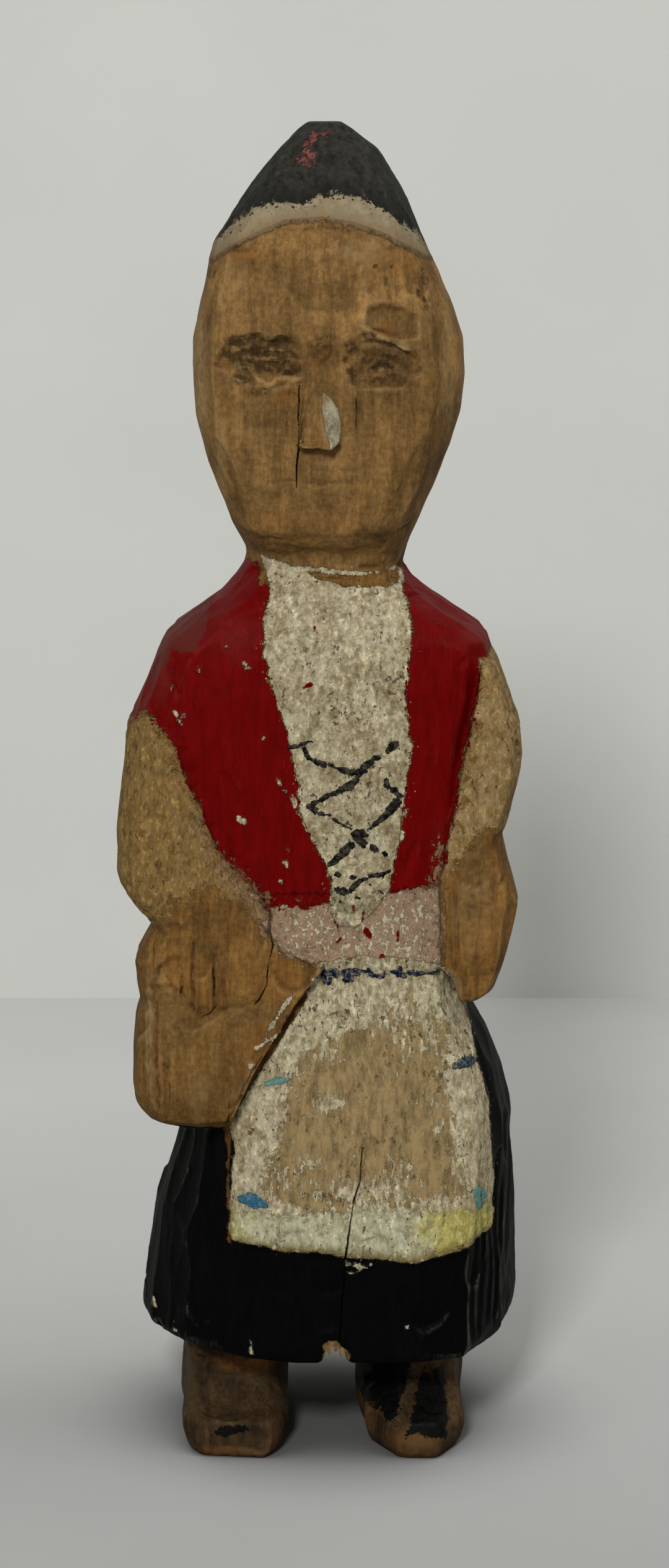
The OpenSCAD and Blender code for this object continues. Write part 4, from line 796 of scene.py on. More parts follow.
def joined_block(size):
    """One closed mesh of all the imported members, remeshed evenly."""
    points, faces, first = [], [], 0
    for name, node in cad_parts.items():
        if name in STROKE_NODES:
            continue
        node.data.calc_loop_triangles()
        part = read_vertices(node.data)
        points.append(part)
        faces.append(read_rows(node.data.loop_triangles, "vertices", 3, np.int32) + first)
        first += len(part)
    mesh = bpy.data.meshes.new("block")
    mesh.from_pydata((np.concatenate(points) * MM).tolist(), [], np.concatenate(faces).tolist())
    work = bmesh.new()
    work.from_mesh(mesh)
    bmesh.ops.remove_doubles(work, verts=work.verts, dist=MM * MM)
    work.to_mesh(mesh)
    work.free()
    block = link_object("block", mesh)
    remesh = block.modifiers.new("even", "REMESH")
    remesh.mode = "VOXEL"
    remesh.voxel_size = size
    even = evaluated_mesh(block)
    bpy.data.objects.remove(block)
    return even


def link_object(name, mesh):
    """A new object in the scene that holds a mesh."""
    obj = bpy.data.objects.new(name, mesh)
    bpy.context.scene.collection.objects.link(obj)
    return obj


def evaluated_mesh(obj):
    """The mesh that an object's modifiers give, as a plain mesh."""
    mesh = bpy.data.meshes.new_from_object(obj.evaluated_get(bpy.context.evaluated_depsgraph_get()))
    mesh.materials.clear()
    return mesh


def refine(mesh, reach):
    """Split the edges that lie within reach mm of a crack."""
    work = bmesh.new()
    work.from_mesh(mesh)
    points = read_vertices(mesh)
    near = np.minimum.reduce([stroke_distance(points, line) for line, _ in CRACKS])
    close = (near < reach) & (points[:, 1] < -5)
    picked = [e for e in work.edges if close[e.verts[0].index] and close[e.verts[1].index]]
    bmesh.ops.subdivide_edges(work, edges=picked, cuts=1, use_grid_fill=True)
    work.to_mesh(mesh)
    work.free()


def sink_lines(points, front):
    """How far each point is pushed in or out along its normal by cracks, creases, ridges and flutes."""
    push = np.zeros(len(points))
    split = strayed(points, 0.05, 0.6, 61)
    for line, deep in CRACKS:
        push -= deep * np.clip(0.35 - stroke_distance(split, line) / 0.12, 0, 1)
    cut = strayed(points, 0.2, 1.1, 63)
    for line, half_w, deep in CREASES:
        push -= deep * smooth_step(-stroke_distance(cut, line), -half_w, -0.1 * half_w)
    for line, half_w, high in RIDGES:
        push += high * smooth_step(-stroke_distance(cut, line), -half_w, 0)
    for outline, deep in GOUGES:
        top, foot = max(p[1] for p in outline), min(p[1] for p in outline)
        share = 0.5 + 0.5 * np.clip((top - cut[:, 2]) / (top - foot), 0, 1)
        push -= deep * share * smooth_step(inside_distance(cut, outline), -0.1, 0.5)
    push *= front
    side = smooth_step(points[:, 0], 15, 17) * (points[:, 1] < 2)
    for x, low, high in FLUTES:
        level = smooth_step(points[:, 2], low, low + 2) * smooth_step(-points[:, 2], -high, 3 - high)
        wander = 0.25 * np.sin(points[:, 2] * 0.35 + x)
        push -= 0.26 * side * level * smooth_step(-np.abs(points[:, 0] - x - wander), -0.42, -0.05)
    return push


def carve_eyes(points, front):
    """How far the face is pushed in at the eye sockets and out at the eyeballs."""
    push = np.zeros(len(points))
    cut = strayed(points, 0.35, 1.2, 65)
    for outline, eye_x, eye_z, bulge in ((RIGHT_SOCKET, -5.6, 124.9, 0.32), (LEFT_SOCKET, 6.6, 124.8, 0.18)):
        push -= 0.36 * smooth_step(inside_distance(cut, outline), -0.2, 0.4)
        ball = 1 - ((cut[:, 0] - eye_x) / 3) ** 2 - ((cut[:, 2] - eye_z) / 1.15) ** 2
        push += bulge * np.sqrt(np.clip(ball, 0, 1))
    rough = lattice_noise(points * np.array([0.6, 1, 1.3]), 0.8, 21)
    rough *= smooth_step(any_outline(points, (RIGHT_SOCKET, LEFT_SOCKET)), -0.5, 0.5)
    return (push + 0.26 * rough) * front


def shape_nose(points):
    """Cut the wedge nose: a flat left face, a ridge that comes forward downwards, and a level underside."""
    x, z = points[:, 0], points[:, 2]
    inside = smooth_step(inside_distance(points, NOSE_OUTLINE), -0.05, 0.2)
    ridge_x = np.interp(z, [p[0] for p in NOSE_RIDGE], [p[1] for p in NOSE_RIDGE])
    high = np.interp(z, (115.4, 116.6, 122.4), (2.1, 1.9, 0.25))
    left = 0.35 + 0.65 * np.clip((x + 2.4) / (ridge_x + 2.4), 0, 1)
    right = np.clip((2.5 - x) / (2.5 - ridge_x), 0, 1) ** 0.8
    on_face = (points[:, 1] < -9) & (inside > 0)
    target = -NOSE_BASE - high * np.where(x < ridge_x, left, right)
    points[:, 1] = np.where(on_face, points[:, 1] + inside * (target - points[:, 1]), points[:, 1])


def paint_lumps(points, crust):
    """How far coats of paint stand out, with lumps where the paint is thick."""
    coats = coat_distances(points)
    tall = points * np.array([1, 1, 0.6])
    fine = 0.5 * lattice_noise(tall, 0.75, 31) + 0.5 * lattice_noise(tall, 0.42, 32)
    ragged = 0.3 * lattice_noise(points, 1.3, 33)
    push = np.zeros(len(points))
    for name, lumps, thick in (
            ("coat_cream", 1, 0.1), ("coat_apron", 0.8, 0.12), ("coat_waist", 0.9, 0.04), ("coat_band", 0.3, 0.04),
            ("coat_red", 0.12, 0.08), ("coat_fringe", 0.5, 0.14)):
        cover = smooth_step(coats[name] + ragged, -0.12, 0.16)
        push += cover * (thick + lumps * crust * fine)
    worn = smooth_step(coats["coat_tan"] + ragged, -0.2, 0.3)
    flaked = ellipse_share(points, FLAKED)
    push -= worn * (1 - 0.8 * flaked) * (0.12 + 0.6 * crust * fine) * smooth_step(coats["coat_apron"], 0, 0.5)
    sleeves = any_outline(points, (RIGHT_SLEEVE_OUTLINE, LEFT_SLEEVE_OUTLINE))
    pitted = smooth_step(np.minimum(sleeves, ARM_BACK - points[:, 1]), 0, 1)
    pits = smooth_step(lattice_noise(points * np.array([0.7, 1, 1.2]), 0.8, 35), 0.3, 0.6)
    return push - 0.16 * pitted * pits


def carve_block(carving):
    """The whole figure as one carved and painted block."""
    mesh = joined_block(carving.grain_size)
    edges = read_edges(mesh)
    flat = read_vertices(mesh)
    sole = flat[:, 2] < 0.2
    # Sanding takes the steps of the even mesh away; the knife's directions follow the block's broad form
    points = blur(flat, edges, 5)
    widen_toes(points)
    write_vertices(mesh, points)
    normals = blur(read_normals(mesh), edges, 12)
    points = whittle(points, normals, carving)
    points = blur(points, edges, 1, 0.35)
    shape_nose(points)
    points[sole, 2] = flat[sole, 2]
    write_vertices(mesh, points)
    # A finer mesh along the cracks, in two steps
    for reach in (0.6, 0.3):
        refine(mesh, reach)
    edges = read_edges(mesh)
    points, normals = read_vertices(mesh), read_normals(mesh)
    front = front_share(points, normals)
    push = sink_lines(points, front) + carve_eyes(points, front)
    push += paint_lumps(points, carving.crust / MM)
    # Raised grain, and the waviness of old wood
    push += 0.05 * lattice_noise(points * np.array([1, 1, 0.3]), 0.9, 41)
    push += 0.06 * lattice_noise(points, 2.4, 42)
    # Torn fibres around the notch of the hem
    torn = smooth_step(-np.hypot(points[:, 0] - 1.5, points[:, 2] - 14.2), -2.4, -1.2)
    push += 0.5 * torn * lattice_noise(points * np.array([1, 1, 0.25]), 0.6, 43) * front
    points += normals * (push * smooth_step(points[:, 2], 0.15, 0.8))[:, None]
    points = np.clip(points, np.array(CAD_BOX[0]) / MM + 0.01, np.array(CAD_BOX[1]) / MM - 0.01)
    points[:, 2] = np.where(points[:, 2] < 0.02, 0, points[:, 2])
    write_vertices(mesh, points)
    soft = blur(points, edges, 10)
    normals = read_normals(mesh)
    set_attribute(mesh, "hollow", ((soft - points) * normals).sum(1))
    set_attribute(mesh, "surface", normals)
    return mesh


def read_numbers(mesh, name, width):
    """The numbers kept for each vertex under a name, one row each."""
    return read_rows(mesh.attributes[name].data, "vector" if width == 3 else "value", width).astype(float)


def set_attribute(mesh, name, values):
    """Keep a number, or with rows of three a direction, for each vertex under a name."""
    kind, field = ("FLOAT_VECTOR", "vector") if values.ndim == 2 else ("FLOAT", "value")
    kept = mesh.attributes.get(name) or mesh.attributes.new(name, kind, "POINT")
    kept.data.foreach_set(field, values.astype(np.float32).ravel())


def prism(outline, back, front=-40.0):
    """A solid with an outline seen from the front, between two depths in mm."""
    work = bmesh.new()
    face = work.faces.new([work.verts.new((x * MM, back * MM, z * MM)) for x, z in outline])
    moved = bmesh.ops.extrude_face_region(work, geom=[face])["geom"]
    for item in moved:
        if isinstance(item, bmesh.types.BMVert):
            item.co.y = front * MM
    bmesh.ops.triangulate(work, faces=work.faces)
    bmesh.ops.recalc_face_normals(work, faces=work.faces)
    return shaped(work, "saw")


def through(outline):
    """A solid with an outline seen from the front, right through the figure."""
    return prism(outline, FAR, -FAR)


def slab(low, high):
    """A solid that holds everything between two levels in mm."""
    return through([(-FAR, low), (FAR, low), (FAR, high), (-FAR, high)])


def above(edge):
    """A solid that holds everything above an edge seen from the front."""
    return through(edge + [(FAR, edge[-1][1]), (FAR, HIGH), (-FAR, HIGH), (-FAR, edge[0][1])])


def joined(*meshes):
    """Several solids in one mesh."""
    total = bmesh.new()
    for mesh in meshes:
        total.from_mesh(mesh)
    return shaped(total, "saw")


def saw(mesh, cutter, operation):
    """Cut one closed mesh with another."""
    stock, tool = link_object("stock", mesh), link_object("tool", cutter)
    cut = stock.modifiers.new("cut", "BOOLEAN")
    cut.solver = "MANIFOLD"
    cut.operation = operation
    cut.object = tool
    result = evaluated_mesh(stock)
    bpy.data.objects.remove(stock)
    bpy.data.objects.remove(tool)
    if not len(result.polygons):
        raise RuntimeError("a saw cut left nothing of the block")
    return result


class Skin:
    """The surface of the whole carved block, to be asked for what a saw cut lost along its edge."""

    whole = None

    def __init__(self, mesh):
        self.points = read_vertices(mesh)
        self.faces = [tuple(face.vertices) for face in mesh.polygons]
        self.tree = BVHTree.FromPolygons(self.points.tolist(), self.faces)
        self.normals = read_numbers(mesh, "surface", 3)
        self.hollow = read_numbers(mesh, "hollow", 1)

    def restore(self, mesh):
        """Fill in direction and hollowness at the new vertices that lie on the block's skin."""
        points = read_vertices(mesh)
        normals, hollow = read_numbers(mesh, "surface", 3), read_numbers(mesh, "hollow", 1)
        for row in np.flatnonzero(np.linalg.norm(normals, axis=1) < 0.1):
            _, _, face, away = self.tree.find_nearest(points[row])
            if away > 0.03:
                continue
            corners = list(self.faces[face])
            weight = 1 / (np.linalg.norm(self.points[corners] - points[row], axis=1) + 0.01)
            normals[row] = weight @ self.normals[corners] / weight.sum()
            hollow[row] = weight @ self.hollow[corners] / weight.sum()
        set_attribute(mesh, "surface", normals)
        set_attribute(mesh, "hollow", hollow[:, 0])


# What is left of the block while the members are sawn off it one after another
stocks = {}


def split_off(source, name, cutter):
    """Saw a new stock called name off another."""
    stocks[name] = saw(stocks[source], cutter, "INTERSECT")
    stocks[source] = saw(stocks[source], cutter, "DIFFERENCE")


def dowel_bore(node, gap, axis):
    """The round bore that a dowel sits in, as a closed solid."""
    low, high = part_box(node)
    middle = (low + high) / 2
    size = high - low
    radius = min(size) / 2 + gap
    work = bmesh.new()
    bmesh.ops.create_cone(work, cap_ends=True, segments=48, radius1=radius, radius2=radius, depth=max(size) + 2 * gap)
    if axis == "X":
        bmesh.ops.rotate(work, verts=work.verts, matrix=Matrix.Rotation(math.pi / 2, 3, "Y"))
    bmesh.ops.translate(work, verts=work.verts, vec=middle)
    bmesh.ops.triangulate(work, faces=work.faces)
    return shaped(work, "bore")


def keep_surface_shading(mesh):
    """Shade the outside as it was on the whole block, so that no seam shows, and the sawn faces flat."""
    corners = read_rows(mesh.loops, "vertex_index", 1, np.int32)[:, 0]
    sides = read_rows(mesh.polygons, "loop_total", 1, np.int32)[:, 0]
    flat = np.repeat(read_rows(mesh.polygons, "normal", 3), sides, axis=0)
    kept = read_rows(mesh.attributes["surface"].data, "vector", 3)[corners]
    length = np.linalg.norm(kept, axis=1, keepdims=True).clip(1e-6)
    outside = (length > 0.4) & ((kept * flat).sum(1, keepdims=True) > 0.3 * length)
    mesh.polygons.foreach_set("use_smooth", np.ones(len(mesh.polygons), bool))
    mesh.normals_split_custom_set(np.where(outside, kept / length, flat))
    mesh.attributes.remove(mesh.attributes["surface"])


def finish_member(node, mesh, material):
    """Turn a sawn mesh into the shown piece that stands for a packed member."""
    mesh.name = node + "_carved"
    Skin.whole.restore(mesh)
    points = read_vertices(mesh)
    for name, values in coat_distances(points).items():
        set_attribute(mesh, name, np.clip(values, -6, 6))
    drawn = strayed(points, 0.25, 1, 67)
    # Places drawn from the front: dirt with painted shade, rubbed wood with painted highlights, warm wood, the painted
    # sheen of the crimson, and flaked paint
    for name, places in (("stain", DIRT_AND_SHADE), ("worn", WEAR_AND_HIGHLIGHTS), ("warm", WARM), ("dusty", SHEEN), ("flaked", FLAKED)):
        set_attribute(mesh, name, ellipse_share(drawn, places) * (points[:, 1] < 2))
    split = strayed(points, 0.05, 0.6, 61)
    cracks = np.minimum.reduce([stroke_distance(split, line) for line, _ in CRACKS])
    set_attribute(mesh, "crack", np.where(points[:, 1] < -4, cracks, 3).clip(-1, 3))
    keep_surface_shading(mesh)
    mesh.materials.append(material)
    obj = link_object(mesh.name, mesh)
    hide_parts(node)
    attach(obj, BODY)
    return obj


def add(tree, kind, sockets=None, out=0, **settings):
    """Add one node, set its settings, fill its sockets with values or links, and hand over one of its outputs.

    A kind without a prefix is a shader node. With out as None the node itself is handed over.
    """
    node = tree.nodes.new(kind if "Node" in kind else "ShaderNode" + kind)
    for name, value in settings.items():
        setattr(node, name, value)
    for key, value in (sockets or {}).items():
        if isinstance(value, bpy.types.NodeSocket):
            tree.links.new(value, node.inputs[key])
        else:
            node.inputs[key].default_value = value
    return node if out is None else node.outputs[out]


def rgba(colour):
    """A colour with full alpha, for a node's socket."""
    return (*colour[:3], 1.0)


def shade(colour, factor):
    """A colour made darker or paler by a factor."""
    return tuple(min(1.0, c * factor) for c in colour[:3])


def start_material(name):
    """A new node material and its place in mm on the object."""
    material = bpy.data.materials.new(name)
    material.use_nodes = True
    tree = material.node_tree
    tree.nodes.clear()
    place = add(tree, "TexCoord", out="Object")
    place = add(tree, "VectorMath", {0: place, "Scale": 1 / MM}, operation="SCALE")
    return material, tree, place


def end_material(tree, layers, specular=0.05):
    """Close a material with one shader that takes the layers' colour, roughness and height."""
    bump = add(tree, "Bump", {"Height": layers["height"], "Distance": MM})
    shader = add(tree, "BsdfPrincipled", {
        "Base Color": layers["colour"], "Roughness": layers["rough"], "Normal": bump,
        "Specular IOR Level": specular})
    add(tree, "OutputMaterial", {0: shader}, out=None)


def faceted(tree, place, colour, name, tone, blend="MULTIPLY", strength=1.0):
    """A colour changed by a tone inside the outlines that an attribute gives."""
    distance = add(tree, "Attribute", attribute_name=name, out="Fac")
    noise = add(tree, "TexNoise", {"Vector": place, "Scale": 0.9, "Detail": 5.0, "Roughness": 0.7})
    distance = add(tree, "Math", {0: noise, 1: 2.0, 2: distance}, operation="MULTIPLY_ADD")
    share = add(tree, "MapRange", {0: distance, 1: 0.95, 2: 1.15, 4: strength})
    return add(tree, "Mix", {0: share, 6: colour, 7: rgba(tone)}, blend_type=blend, **COLOURS)


def patched(tree, place, colour, name, other, strength=1.0, scale=1.3, crisp=False):
    """A colour changed to another one in the places that an attribute gives, with a broken edge."""
    share = add(tree, "Attribute", attribute_name=name, out="Fac")
    speck = add(tree, "TexNoise", {"Vector": place, "Scale": scale, "Detail": 4.0, "Roughness": 0.6})
    broken = add(tree, "MapRange", {0: speck, 1: 0.32, 2: 0.6, 3: 0.1, 4: 1.3})
    share = add(tree, "Math", {0: share, 1: broken}, operation="MULTIPLY")
    if crisp:
        share = add(tree, "MapRange", {0: share, 1: 0.16, 2: 0.7})
    share = add(tree, "Math", {0: share, 1: strength}, operation="MULTIPLY", use_clamp=True)
    return add(tree, "Mix", {0: share, 6: colour, 7: rgba(other)}, **COLOURS)


def faded(tree, name, low, high, near, far):
    """A colour that changes with the distance from a coat's edge, from low to high mm."""
    distance = add(tree, "Attribute", attribute_name=name, out="Fac")
    share = add(tree, "MapRange", {0: distance, 1: low, 2: high})
    return add(tree, "Mix", {0: share, 6: rgba(near), 7: rgba(far)}, **COLOURS)


def bare_wood(tree, place, pale, dark, paint, rough=0.68, edge=None):
    """Old handled softwood with upright grain, dirt in its hollows and pale rubbed edges.

    Growth lines are 1 to 2 mm apart and fibres about 0.2 mm, both stretched along the block.
    """
    long_place = add(tree, "VectorMath", {0: place, 1: (1, 0.8, 0.09)}, operation="MULTIPLY")
    fibre_place = add(tree, "VectorMath", {0: place, 1: (1, 1, 0.13)}, operation="MULTIPLY")
    streak = add(tree, "TexNoise", {
        "Vector": long_place, "Scale": 0.7, "Detail": 6.0, "Roughness": 0.62, "Distortion": 0.4})
    fibre = add(tree, "TexNoise", {"Vector": fibre_place, "Scale": 2.8, "Detail": 3.0, "Roughness": 0.65})
    blotch = add(tree, "TexNoise", {"Vector": place, "Scale": 0.2, "Detail": 9.0, "Roughness": 0.7})
    streak_share = add(tree, "MapRange", {0: streak, 1: 0.3, 2: 0.64})
    colour = add(tree, "Mix", {0: streak_share, 6: rgba(dark), 7: rgba(pale)}, **COLOURS)
    fibre_share = add(tree, "MapRange", {0: fibre, 1: 0.53, 2: 0.7, 4: 0.42})
    colour = add(tree, "Mix", {0: fibre_share, 6: colour, 7: rgba(shade(dark, 0.6))}, **COLOURS)
    light = add(tree, "MapRange", {0: fibre, 1: 0.46, 2: 0.34, 4: 0.3})
    colour = add(tree, "Mix", {0: light, 6: colour, 7: rgba(shade(pale, 1.35))}, **COLOURS)
    tone = add(tree, "MapRange", {0: blotch, 1: 0.34, 2: 0.66, 3: 0.66, 4: 1.26})
    colour = add(tree, "Mix", {0: 1.0, 6: colour, 7: tone}, blend_type="MULTIPLY", **COLOURS)
    nick = add(tree, "TexNoise", {"Vector": place, "Scale": 1.7, "Detail": 4.0, "Roughness": 0.72})
    nick = add(tree, "MapRange", {0: nick, 1: 0.44, 2: 0.56, 3: 0.84, 4: 1.14})
    colour = add(tree, "Mix", {0: 1.0, 6: colour, 7: nick}, blend_type="MULTIPLY", **COLOURS)
    # Painted shade with dirt on the dark facets of the face, and painted highlights on the pale ones
    colour = faceted(tree, place, colour, "dark_facet", (0.86, 0.86, 0.86))
    colour = faceted(tree, place, colour, "pale_facet", (1.3, 1.3, 1.3))
    colour = patched(tree, place, colour, "warm", paint.warm_wood, 0.75, 0.9)
    # Pale rubbed wood, and painted highlights on the face's edges, brow ridge and lower lids
    colour = patched(tree, place, colour, "worn", edge or paint.bare_edge, 0.8)
    hollow = add(tree, "Attribute", attribute_name="hollow", out="Fac")
    ridge = add(tree, "MapRange", {0: hollow, 1: -0.03, 2: -0.12, 4: 0.5})
    ridge = add(tree, "Math", {0: ridge, 1: streak_share}, operation="MULTIPLY")
    colour = add(tree, "Mix", {0: ridge, 6: colour, 7: rgba(edge or paint.bare_edge)}, **COLOURS)
    cavity = add(tree, "MapRange", {0: hollow, 1: 0.03, 2: 0.18, 4: 0.6})
    colour = add(tree, "Mix", {0: cavity, 6: colour, 7: rgba(paint.dirt)}, **COLOURS)
    # Dark places: dirt, with painted shade in the eye sockets, under the nose and chin and under the skirt's hem
    colour = patched(tree, place, colour, "stain", paint.dirt, 0.8, 1.6, crisp=True)
    height = add(tree, "Math", {0: streak, 1: 0.09}, operation="MULTIPLY")
    height = add(tree, "Math", {0: fibre, 1: -0.09, 2: height}, operation="MULTIPLY_ADD")
    gloss = add(tree, "MapRange", {0: streak, 1: 0.3, 2: 0.7, 3: rough - 0.08, 4: rough + 0.08})
    return {"colour": colour, "height": height, "rough": gloss}


def coat(tree, place, under, name, pale, dull, ragged=0.3, chips=0.2, flecks=0.3, thick=0.08, crust=0.05,
         rough=0.6, shift=0.0, pits=0.0, pit=(0, 0, 0), tall=0.6, thin=0.0, coarse=1.1, grime=0.0):
    """One coat of paint over what is under it, from the distance to its edge.

    ragged is how far the edge wanders in mm. chips, flecks and pits run from 0 to 1: holes in the coat, spots of it
    past its edge, and dirty pits in it. crust is the height of its small lumps in mm, tall how short its pattern is
    upright, and thin how much more it chips where the flaked places are. coarse is the pattern of its edge per mm, and
    grime the strength of brown patches on it.
    """
    distance = add(tree, "Attribute", attribute_name=name, out="Fac")
    moved = add(tree, "VectorMath", {0: place, 1: (shift, shift * 2, shift * 3)})
    brush = add(tree, "VectorMath", {0: moved, 1: (1, 1, tall)}, operation="MULTIPLY")
    edge = add(tree, "TexNoise", {"Vector": moved, "Scale": coarse, "Detail": 7.0, "Roughness": 0.78})
    edge = add(tree, "Math", {0: edge, 1: 5 * ragged, 2: -2.5 * ragged}, operation="MULTIPLY_ADD")
    edge = add(tree, "Math", {0: edge, 1: distance})
    cover = add(tree, "MapRange", {0: edge, 1: -0.04, 2: 0.05})
    fine = add(tree, "TexNoise", {"Vector": brush, "Scale": 2.1, "Detail": 5.0, "Roughness": 0.66})
    depth = add(tree, "MapRange", {0: distance, 2: 3.0, 4: 0.09})
    hole = add(tree, "Math", {0: fine, 1: depth}, operation="SUBTRACT")
    if thin:
        flaked = add(tree, "Attribute", attribute_name="flaked", out="Fac")
        hole = add(tree, "Math", {0: flaked, 1: thin, 2: hole}, operation="MULTIPLY_ADD")
    limit = 0.72 - 0.3 * chips
    keep = add(tree, "MapRange", {0: hole, 1: limit - 0.012, 2: limit + 0.012, 3: 1.0, 4: 0.0})
    cover = add(tree, "Math", {0: cover, 1: keep}, operation="MULTIPLY")
    if flecks:
        spot = add(tree, "TexNoise", {"Vector": moved, "Scale": 2.4})
        far = add(tree, "MapRange", {0: distance, 1: -2.4, 2: 0.0, 3: 0.24, 4: 0.0})
        spot = add(tree, "Math", {0: spot, 1: far}, operation="SUBTRACT")
        bound = 0.7 - 0.14 * flecks
        spot = add(tree, "MapRange", {0: spot, 1: bound, 2: bound + 0.02})
        near = add(tree, "Math", {0: distance, 1: -2.4}, operation="GREATER_THAN")
        spot = add(tree, "Math", {0: spot, 1: near}, operation="MULTIPLY")
        cover = add(tree, "Math", {0: cover, 1: spot}, operation="MAXIMUM")
    tone = add(tree, "TexNoise", {"Vector": brush, "Scale": 1.2, "Detail": 7.0, "Roughness": 0.78})
    tone = add(tree, "MapRange", {0: tone, 1: 0.38, 2: 0.58})
    pale, dull = (c if isinstance(c, bpy.types.NodeSocket) else rgba(c) for c in (pale, dull))
    colour = add(tree, "Mix", {0: tone, 6: dull, 7: pale}, **COLOURS)
    if grime:
        patch = add(tree, "TexNoise", {"Vector": brush, "Scale": 0.42, "Detail": 9.0, "Roughness": 0.76})
        patch = add(tree, "MapRange", {0: patch, 1: 0.48, 2: 0.66, 4: grime})
        colour = add(tree, "Mix", {0: patch, 6: colour, 7: rgba(bpy.context.scene.figure_paint.grime)}, **COLOURS)
    if pits:
        spot = add(tree, "TexNoise", {"Vector": brush, "Scale": 1.6, "Detail": 4.0, "Roughness": 0.66})
        loose = add(tree, "TexNoise", {"Vector": moved, "Scale": 0.25, "Detail": 3.0})
        spot = add(tree, "Math", {0: loose, 1: 0.35, 2: spot}, operation="MULTIPLY_ADD")
        bound = 0.87 - 0.12 * pits
        spot = add(tree, "MapRange", {0: spot, 1: bound, 2: bound + 0.05, 4: 0.85})
        colour = add(tree, "Mix", {0: spot, 6: colour, 7: rgba(pit)}, **COLOURS)
        # Painted highlights on the tops of the paint's lumps
        painted_highlight = add(tree, "MapRange", {0: fine, 1: 0.54, 2: 0.64, 4: 0.9})
        colour = add(tree, "Mix", {0: painted_highlight, 6: colour, 7: (1.0, 0.96, 0.8, 1)}, blend_type="SOFT_LIGHT", **COLOURS)
        fine = add(tree, "Math", {0: spot, 1: -1.2, 2: fine}, operation="MULTIPLY_ADD")
    colour = add(tree, "Mix", {0: cover, 6: under["colour"], 7: colour}, **COLOURS)
    lumps = add(tree, "Math", {0: fine, 1: crust, 2: thick}, operation="MULTIPLY_ADD")
    lumps = add(tree, "Math", {0: lumps, 1: cover}, operation="MULTIPLY")
    height = add(tree, "Math", {0: under["height"], 1: lumps})
    gloss = add(tree, "Mix", {0: cover, 2: under["rough"], 3: rough})
    return {"colour": colour, "height": height, "rough": gloss}


def cracked(tree, layers, dirt):
    """Dark cracks through everything."""
    crack = add(tree, "Attribute", attribute_name="crack", out="Fac")
    share = add(tree, "MapRange", {0: crack, 1: 0.03, 2: -0.03, 4: 0.9})
    colour = add(tree, "Mix", {0: share, 6: layers["colour"], 7: rgba(shade(dirt, 0.4))}, **COLOURS)
    return {**layers, "colour": colour}


def rub_edges(tree, place, layers, worn_colour, amount=0.8, sides=False):
    """Paint rubbed thin along the ridges between knife facets, on request only at the figure's sides."""
    hollow = add(tree, "Attribute", attribute_name="hollow", out="Fac")
    streak = add(tree, "VectorMath", {0: place, 1: (1, 1, 0.12)}, operation="MULTIPLY")
    noise = add(tree, "TexNoise", {"Vector": streak, "Scale": 1.6, "Detail": 5.0, "Roughness": 0.7})
    edge = add(tree, "MapRange", {0: hollow, 1: -0.025, 2: -0.1, 4: amount})
    patchy = add(tree, "MapRange", {0: noise, 1: 0.42, 2: 0.6})
    share = add(tree, "Math", {0: edge, 1: patchy}, operation="MULTIPLY")
    if sides:
        across = add(tree, "SeparateXYZ", {0: place})
        across = add(tree, "Math", {0: across}, operation="ABSOLUTE")
        outer = add(tree, "MapRange", {0: across, 1: 10.5, 2: 15.0})
        share = add(tree, "Math", {0: share, 1: outer}, operation="MULTIPLY")
    colour = add(tree, "Mix", {0: share, 6: layers["colour"], 7: rgba(worn_colour)}, **COLOURS)
    return {**layers, "colour": colour}


def tones(paint, *names):
    """Colours of the settings, each by its name and a factor."""
    return [shade(getattr(paint, name), factor) for name, factor in names]


